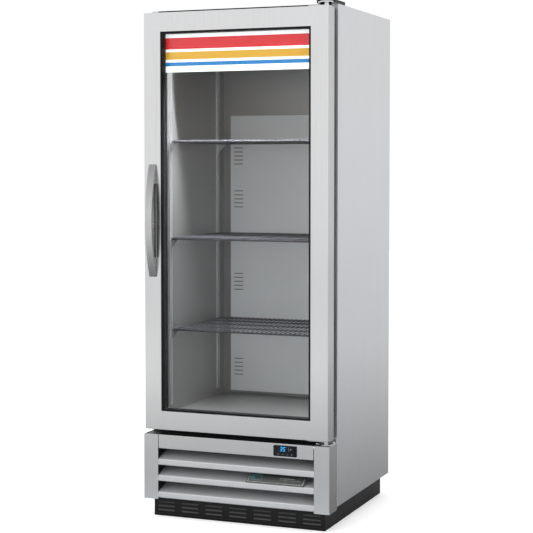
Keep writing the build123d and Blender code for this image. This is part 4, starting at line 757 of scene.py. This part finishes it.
def swept_frame(section, half_w, half_h, middle_z):
    """A closed section swept round a rectangle with mitred corners. The section is (outwards, y) points."""
    bm = bmesh.new()
    corners = ((-1, -1), (1, -1), (1, 1), (-1, 1))
    loops = []
    for sx, sz in corners:
        points = [(sx * (half_w + out), y, middle_z + sz * (half_h + out)) for out, y in section]
        loops.append([bm.verts.new(point) for point in points])
    for here, there in zip(loops, loops[1:] + loops[:1]):
        bridge(bm, here, there)
    return mesh_from(bm)


def extruded_outline(loops, thickness, rounding, steps=0):
    """A plate from flat closed outlines (the first outer, the others holes), with rounded rims, in XY."""
    curve = bpy.data.curves.new("outline", "CURVE")
    curve.dimensions = "2D"
    curve.fill_mode = "BOTH"
    curve.extrude = thickness / 2 - rounding
    curve.bevel_depth = rounding
    curve.bevel_resolution = steps
    curve.offset = -rounding
    for points in loops:
        spline = curve.splines.new("POLY")
        spline.points.add(len(points) - 1)
        for point, (x, y) in zip(spline.points, points):
            point.co = (x, y, 0.0, 1.0)
        spline.use_cyclic_u = True
    carrier = bpy.data.objects.new("outline", curve)
    bpy.context.scene.collection.objects.link(carrier)
    bpy.context.view_layer.update()
    shaped = carrier.evaluated_get(bpy.context.evaluated_depsgraph_get())
    mesh = bpy.data.meshes.new_from_object(shaped)
    bpy.data.objects.remove(carrier)
    bpy.data.curves.remove(curve)
    bm = bmesh.new()
    bm.from_mesh(mesh)
    bpy.data.meshes.remove(mesh)
    bmesh.ops.remove_doubles(bm, verts=bm.verts, dist=SAME_ON_CURVE)
    bmesh.ops.dissolve_degenerate(bm, edges=bm.edges, dist=SHORTEST_EDGE)
    return mesh_from(bm)


def thin_plate(loops_mm, thickness_mm, rim_mm):
    """A small flat sign from outlines in millimetres."""
    loops = [[(x * MM, y * MM) for x, y in loop] for loop in loops_mm]
    return extruded_outline(loops, thickness_mm * MM, rim_mm * MM)


def joined(meshes):
    """One mesh from several (mesh, matrix) pairs."""
    bm = bmesh.new()
    for mesh, matrix in meshes:
        copy = mesh.copy()
        copy.transform(matrix)
        bm.from_mesh(copy)
        bpy.data.meshes.remove(copy)
    whole = bpy.data.meshes.new("joined")
    bm.to_mesh(whole)
    bm.free()
    return whole


def facing_customer(x, y, z):
    """Takes a flat XY outline to an upright plate that faces the customer, centred on a point."""
    return Matrix.Translation((x, y, z)) @ Matrix.Rotation(math.pi / 2, 4, "X")


# ================================================================== door pieces
HANDLE_END_DEPTH, HANDLE_BAND = 5.0 * MM, 9.0 * MM
HANDLE_SLOT_HALF, HANDLE_FOOT = 117.0 * MM, 0.6 * MM
HANDLE_ROUNDING = 1.6 * MM


def make_handle(finish):
    """Bow handle: a flat arched band on two solid ends, with a long finger slot."""
    low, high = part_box("door_handle")
    reach = high.y - low.y
    half = (high.z - low.z) / 2
    rise = reach - HANDLE_END_DEPTH
    radius = (half * half + rise * rise) / (2 * rise)
    centre = reach - radius
    outer = [(x, y + centre) for x, y in arc(radius, math.asin(half / radius), 64)]
    outer += [(half, 0.0), (-half, 0.0)]
    inner_r = radius - HANDLE_BAND
    slot = [(x, y + centre) for x, y in arc(inner_r, math.asin(HANDLE_SLOT_HALF / inner_r), 48)]
    slot += [(HANDLE_SLOT_HALF, HANDLE_FOOT), (-HANDLE_SLOT_HALF, HANDLE_FOOT)]
    mesh = extruded_outline([outer, slot[::-1]], high.x - low.x, HANDLE_ROUNDING, steps=4)
    middle = (low + high) / 2
    # outline x runs up the door, outline y towards the customer, thickness across the stile
    axes = Matrix(((0, 0, 1, middle.x), (0, -1, 0, high.y), (1, 0, 0, middle.z), (0, 0, 0, 1)))
    mesh.transform(axes)
    mesh.flip_normals()
    handle = make_piece("bow_handle", mesh, finish, "door", sharp_above=50.0)
    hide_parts("door_handle")


# the seal's outline: outwards from its outer edge, and back from its front, in millimetres
GASKET_DEPTH_MM = 12.0
GASKET_SECTION_MM = (
    (-6.0, 0.0), (-6.0, 2.6), (-9.0, 3.0), (-8.2, 4.2), (-5.2, 5.0), (-1.6, 5.2), (-0.4, 6.0),
    (-0.4, 7.0), (-1.4, 7.8), (-1.2, 8.6), (-0.2, 9.2), (0.0, 10.6), (-0.8, 11.8), (-3.0, 12.0),
    (-16.0, 12.0), (-18.2, 11.8), (-19.0, 10.6), (-18.8, 9.2), (-17.6, 8.6), (-17.4, 7.8),
    (-18.4, 7.0), (-18.4, 6.0), (-17.0, 5.2), (-13.6, 5.0), (-11.4, 4.2), (-11.0, 3.0), (-13.0, 2.6),
    (-13.0, 0.0),
)


def make_gasket(finish):
    """Magnetic seal: a flat magnet pocket on a folded bellows, pushed into the door frame."""
    low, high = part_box("door_gasket")
    half_w = (high.x - low.x) / 2
    half_h = (high.z - low.z) / 2
    middle_z = (low.z + high.z) / 2
    deep = (high.y - low.y) / GASKET_DEPTH_MM
    section = [(out * MM, low.y + y * deep) for out, y in GASKET_SECTION_MM]
    mesh = swept_frame(section, half_w, half_h, middle_z)
    gasket = make_piece("gasket_bellows", mesh, finish, "door", sharp_above=60.0)
    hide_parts("door_gasket")


LIP_COVER = 2.2 * MM  # how far the rolled edge laps over the glass
LIP_RADIUS = 1.5 * MM
LIP_ROOT, LIP_BACK = 0.3 * MM, 2.8 * MM
LIP_PROUD = 0.05 * MM


def make_opening_lip(finish):
    """The steel face's rolled edge round the glass."""
    low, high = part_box("glass_outer")
    face_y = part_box("door_skin")[0].y
    half_w, half_h = (high.x - low.x) / 2 + LIP_COVER, (high.z - low.z) / 2 + LIP_COVER
    section = [(-LIP_ROOT, face_y + LIP_BACK)]
    for k in range(7):
        turn = math.pi / 2 * k / 6
        out = LIP_RADIUS * (1.0 - math.cos(turn)) - LIP_ROOT
        section.append((out, face_y + LIP_PROUD + LIP_RADIUS * (1.0 - math.sin(turn))))
    section += [(LIP_RADIUS, face_y + 0.35 * MM), (LIP_ROOT, face_y + LIP_BACK)]
    mesh = swept_frame(section, half_w, half_h, (low.z + high.z) / 2)
    make_piece("opening_lip", mesh, finish, "door")


# ================================================================== cabinet pieces
HEAD_STEPS, HEAD_RINGS = 24, 5
HEAD_RIM = 0.25  # height of a head's upright rim, as a share of its whole height
HEAD_CROWN_TURN = 0.82  # how far in the dome goes before its flat crown, as a share of a quarter turn
CROSS_ARM, CROSS_REACH = 0.13, 0.52  # the recess, as shares of the head's radius
CROSS_NARROWING, CROSS_FLOOR = 0.8, 0.35


def pan_head(radius, height):
    """A domed screw head with a cross recess, its base at the origin and its crown up."""
    bm = bmesh.new()
    profile = [(radius, 0.0), (radius, height * HEAD_RIM)]
    for k in range(1, HEAD_RINGS):
        turn = math.pi / 2 * k / HEAD_RINGS
        rise = HEAD_RIM + (1.0 - HEAD_RIM) * math.sin(turn)
        profile.append((radius * math.cos(turn * HEAD_CROWN_TURN), height * rise))
    arm, reach = radius * CROSS_ARM, radius * CROSS_REACH
    cross = []
    for quarter in range(4):
        spin = Matrix.Rotation(math.pi / 2 * quarter, 2)
        for point in ((arm, -arm), (reach, -arm), (reach, arm)):
            cross.append(spin @ Vector(point))
    loops = [[bm.verts.new((x, y, z)) for x, y in circle(r, HEAD_STEPS)] for r, z in profile]
    for here, there in zip(loops, loops[1:]):
        bridge(bm, here, there)
    bm.faces.new(loops[0][::-1])
    rim = [bm.verts.new((p.x, p.y, height)) for p in cross]
    pit = [p * CROSS_NARROWING for p in cross]
    floor = [bm.verts.new((p.x, p.y, height * CROSS_FLOOR)) for p in pit]
    edges = []
    for ring in (loops[-1], rim):
        for pair in zip(ring, ring[1:] + ring[:1]):
            edges.append(bm.edges.get(pair) or bm.edges.new(pair))
    bmesh.ops.triangle_fill(bm, edges=edges, use_beauty=True)
    bridge(bm, rim, floor)
    bm.faces.new(floor)
    return mesh_from(bm)


def make_screws(finish):
    """Real heads in place of the plain ones: upright ones at the hinges, eight on the back."""
    heads = []
    for low, high in solids_of("cabinet_screws"):
        size = high - low
        middle = (low + high) / 2
        if size.z < size.y + SAME_CORNER and size.z < size.x:
            head = pan_head(size.x / 2, size.z)
            place, turn = (middle.x, middle.y, low.z), Matrix.Rotation(0.4, 4, "Z")
        else:
            head = pan_head(size.x / 2, size.y)
            place = (middle.x, low.y, middle.z)
            turn = Matrix.Rotation(-math.pi / 2, 4, "X") @ Matrix.Rotation(0.9 * len(heads), 4, "Z")
        heads.append((head, Matrix.Translation(place) @ turn))
    screws = make_piece("cabinet_screw_heads", joined(heads), finish, "cabinet", sharp_above=40.0)
    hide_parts("cabinet_screws")


def solids_of(node):
    """The (lowest, highest) corners of each separate solid in a CAD node."""
    bm = bmesh.new()
    bm.from_mesh(NODES[node].data)
    bmesh.ops.remove_doubles(bm, verts=bm.verts, dist=SAME_CORNER)
    left = set(bm.verts)
    found = []
    while left:
        todo, island = [left.pop()], []
        while todo:
            vert = todo.pop()
            island.append(vert.co.copy())
            for edge in vert.link_edges:
                other = edge.other_vert(vert)
                if other in left:
                    left.remove(other)
                    todo.append(other)
        low = Vector([min(p[axis] for p in island) for axis in range(3)])
        high = Vector([max(p[axis] for p in island) for axis in range(3)])
        found.append((low, high))
    bm.free()
    return sorted(found, key=lambda pair: tuple(pair[0]))


# ================================================================== display
# all in millimetres; places across the window count from the display's left edge
DIGIT_H, DIGIT_W, SEGMENT = 12.0, 5.6, 1.3
DIGIT_LEAN = math.tan(math.radians(8.0))
DIGIT_PLATE, DIGIT_RIM = 0.3, 0.05
DIGIT_PITCH = 9.4
FIRST_DIGIT_X, DIGITS_BELOW_TOP = 25.5, 11.6
WINDOW_FLOOR = 0.6
DEGREE_R, DEGREE_AFTER = 0.8, 15.6
DIVIDER_X, DIVIDER_HALF_W, DIVIDER_HALF_H = 50.0, 0.2, 6.0
STATUS_X, STATUS_LENGTH, STATUS_STEP, STATUS_HALF_H, STATUS_PITCH = 55.0, 5.5, 1.2, 0.35, 2.2
LINE_PLATE, LINE_RIM = 0.2, 0.03
LIT_SEGMENTS = {"3": "abgcd", "5": "afgcd"}
SEGMENT_PLACES = {
    # middle of the segment in half digits, and whether it stands upright
    "a": (0, 1, False), "g": (0, 0, False), "d": (0, -1, False),
    "f": (-1, 0.5, True), "b": (1, 0.5, True), "c": (1, -0.5, True),
}


def segment_outline(segment):
    """One pointed bar of a digit, leaning with it."""
    across, up, standing = SEGMENT_PLACES[segment]
    dx, dz = across * DIGIT_W / 2, up * DIGIT_H / 2
    length = (DIGIT_H / 2 if standing else DIGIT_W) - SEGMENT / 2
    tip, wide = length / 2, SEGMENT / 2
    above, below = [(-tip + wide, wide), (tip - wide, wide)], [(tip - wide, -wide), (-tip + wide, -wide)]
    outline = [(-tip, 0), *above, (tip, 0), *below]
    if standing:
        outline = [(-v, u) for u, v in outline]
    return [(u + dx + DIGIT_LEAN * (v + dz), v + dz) for u, v in outline]


def make_readout():
    """Two seven-segment digits and a degree mark, standing on the display's window floor."""
    low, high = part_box("display_bezel")

    def on_window(across, up):
        z = high.z + (up - DIGITS_BELOW_TOP) * MM
        return facing_customer(low.x + across * MM, low.y + WINDOW_FLOOR * MM, z)

    plates = []
    for number, digit in enumerate("35"):
        for segment in LIT_SEGMENTS[digit]:
            plate = thin_plate([segment_outline(segment)], DIGIT_PLATE, DIGIT_RIM)
            plates.append((plate, on_window(FIRST_DIGIT_X + number * DIGIT_PITCH, 0.0)))
    degree = thin_plate([circle(DEGREE_R, 12)], DIGIT_PLATE, DIGIT_RIM)
    plates.append((degree, on_window(FIRST_DIGIT_X + DEGREE_AFTER, DIGIT_H / 2)))
    blue = glowing_digit("readout_blue", (0.02, 0.42, 1.0), 2.2)
    make_piece("readout_digits", joined(plates), blue, "cabinet")
    # a thin divider and three status bars at the right of the window
    divider = rectangle(-DIVIDER_HALF_W, -DIVIDER_HALF_H, DIVIDER_HALF_W, DIVIDER_HALF_H)
    bars = [(thin_plate([divider], LINE_PLATE, LINE_RIM), on_window(DIVIDER_X, 0.0))]
    for step in range(3):
        bar = rectangle(0, -STATUS_HALF_H, STATUS_LENGTH - STATUS_STEP * step, STATUS_HALF_H)
        bars.append((thin_plate([bar], LINE_PLATE, LINE_RIM), on_window(STATUS_X, STATUS_PITCH * (1 - step))))
    grey = glowing_digit("readout_grey", (0.42, 0.46, 0.50), 0.35)
    make_piece("readout_divider", joined(bars), grey, "cabinet")


KEY_ARROW = [(-1.5, -0.7), (0.0, 0.8), (1.5, -0.7), (1.1, -1.0), (0.0, 0.1), (-1.1, -1.0)]
KEY_RING_OUTER, KEY_RING_INNER = 1.25, 0.85
KEY_BAR_HALF_W, KEY_BAR_HALF_H, KEY_BAR_PITCH = 1.4, 0.18, 0.8
KEY_SIGN_PLATE = 0.16


def make_key_marks():
    """A small raised sign on each key cap: a bar stack, two arrows and a power ring."""
    # Painted glow: the printed marks glow faintly, though no lamp lights them.
    ink = glowing_digit("key_mark_ink_painted_glow", (0.55, 0.58, 0.62), 0.25)
    bars = []
    for row in (-1, 0, 1):
        z = row * KEY_BAR_PITCH
        bars.append(rectangle(-KEY_BAR_HALF_W, z - KEY_BAR_HALF_H, KEY_BAR_HALF_W, z + KEY_BAR_HALF_H))
    # each key's sign is a list of plates, and each plate a list of outlines
    signs = {
        "display_key_menu": [[bar] for bar in bars],
        "display_key_down": [[[(x, -z) for x, z in KEY_ARROW][::-1]]],
        "display_key_up": [[KEY_ARROW]],
        "display_key_power": [[circle(KEY_RING_OUTER, 24), circle(KEY_RING_INNER, 24)[::-1]]],
    }
    bodies = {node: body for body, nodes in frame["record"]["behaviour"]["bodies"].items() for node in nodes}
    for key, sign in signs.items():
        low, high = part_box(key)
        middle = (low + high) / 2
        place = facing_customer(middle.x, low.y, middle.z)
        plates = [(thin_plate(loops, KEY_SIGN_PLATE, LINE_RIM), place) for loops in sign]
        make_piece(key + "_mark", joined(plates), ink, bodies[key])


# ================================================================== name plate
# all in millimetres, from the middle of the plate's face
INLAY_PLATE, INLAY_RIM = 0.24, 0.05
BORDER_OUTER, BORDER_INNER = 2.4, 3.4
LONG_RULE, SHORT_RULE = (10, -2.6, 78, -1.9), (10, 1.9, 60, 3.6)
SLANTED_PANEL = [(-86, -9), (-50, -9), (-48, 9), (-84, 9)]
SLANTED_HOLLOW = [(-85, -8.2), (-51, -8.2), (-49.1, 8.2), (-83.1, 8.2)]
RING_X, RING_OUTER, RING_INNER = -77.0, 4.6, 3.2


def plate_face_of(node):
    """Corner points and normal of the largest flat face of a CAD node, coplanar triangles merged."""
    bm = bmesh.new()
    bm.from_mesh(NODES[node].data)
    bmesh.ops.remove_doubles(bm, verts=bm.verts, dist=SAME_CORNER)
    bmesh.ops.dissolve_limit(bm, angle_limit=math.radians(1.0), verts=bm.verts, edges=bm.edges)
    faces = [f for f in bm.faces if f.normal.y < -0.2]
    face = max(faces, key=lambda f: f.calc_area())
    corners = [v.co.copy() for v in face.verts]
    normal = face.normal.copy()
    bm.free()
    return corners, normal


def make_plate_inlay():
    """A bright hairline border and a plain ring and rules on the dark name plate. No lettering."""
    corners, normal = plate_face_of("name_plate")
    right = Vector((1.0, 0.0, 0.0))
    up = normal.cross(right) * -1.0
    if up.z < 0:
        up = -up
    origin = sum(corners, Vector()) / len(corners)
    flat = [((p - origin).dot(right) / MM, (p - origin).dot(up) / MM) for p in corners]
    # the four extreme corners of the slanted outline
    signs = ((-1, -1), (1, -1), (1, 1), (-1, 1))
    quad = [max(flat, key=lambda p: sx * p[0] + 2.0 * sz * p[1]) for sx, sz in signs]

    def inset(amount):
        return [(x - sx * amount, z - sz * amount) for (x, z), (sx, sz) in zip(quad, signs)]

    axes = Matrix((
        (right.x, up.x, normal.x, origin.x),
        (right.y, up.y, normal.y, origin.y),
        (right.z, up.z, normal.z, origin.z),
        (0.0, 0.0, 0.0, 1.0),
    ))

    def inlay(name, plates, material):
        pairs = [(thin_plate(loops, INLAY_PLATE, INLAY_RIM), axes) for loops in plates]
        make_piece(name, joined(pairs), material, "cabinet")

    bright = plated_metal("inlay_bright", (0.78, 0.79, 0.77), 0.25)
    border = [inset(BORDER_OUTER), inset(BORDER_INNER)[::-1]]
    inlay("name_plate_inlay", [border, [rectangle(*LONG_RULE)], [rectangle(*SHORT_RULE)]], bright)
    # Painted glow: the teal inlay glows faintly, though no lamp lights it.
    painted_glow_teal = glowing_digit("inlay_teal_painted_glow", (0.03, 0.36, 0.42), 0.12)
    ring = [circle(RING_OUTER, 32, RING_X), circle(RING_INNER, 32, RING_X)[::-1]]
    inlay("name_plate_ring", [[SLANTED_PANEL, SLANTED_HOLLOW[::-1]], ring], painted_glow_teal)


# ================================================================== assembly
GOODS_WATTS, GOODS_COLOR = 24.0, (0.95, 0.975, 1.0)
GOODS_SPREAD = math.radians(125.0)  # the lamp's channel shades what is level with it


def light_goods():
    """The strip lamp over the goods, aimed at the back of the lower shelves."""
    goods_low, goods_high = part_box("inner_liner")
    low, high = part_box("led_lens")
    x = (low.x + high.x) / 2
    place = (x, low.y + 0.02, low.z - 0.01)
    target = (x, goods_high.y - 0.1, goods_low.z + 0.5)
    lamp = area_light("goods_lamp", place, target, (high.x - low.x, 0.02), GOODS_WATTS, GOODS_COLOR)
    lamp.data.spread = GOODS_SPREAD


GROUPS["brushed_grain"] = make_grain_group()
GROUPS["edge_wear"] = make_wear_group()
GROUPS["handling_haze"] = make_handling_group()
GROUPS["fine_texture"] = make_speck_group()

bpy.context.scene.view_settings.view_transform = "Standard"
set_camera()
light_studio()
lay_floor()

finishes = build_finishes()
for node, piece in NODES.items():
    piece.material_slots[0].material = finishes[SLOT_OF[node]]

make_handle(finishes["handle_metal"])
make_gasket(finishes["gasket"])
make_opening_lip(finishes["stainless_front"])
make_screws(finishes["zinc"])
make_readout()
make_key_marks()
make_plate_inlay()
light_goods()
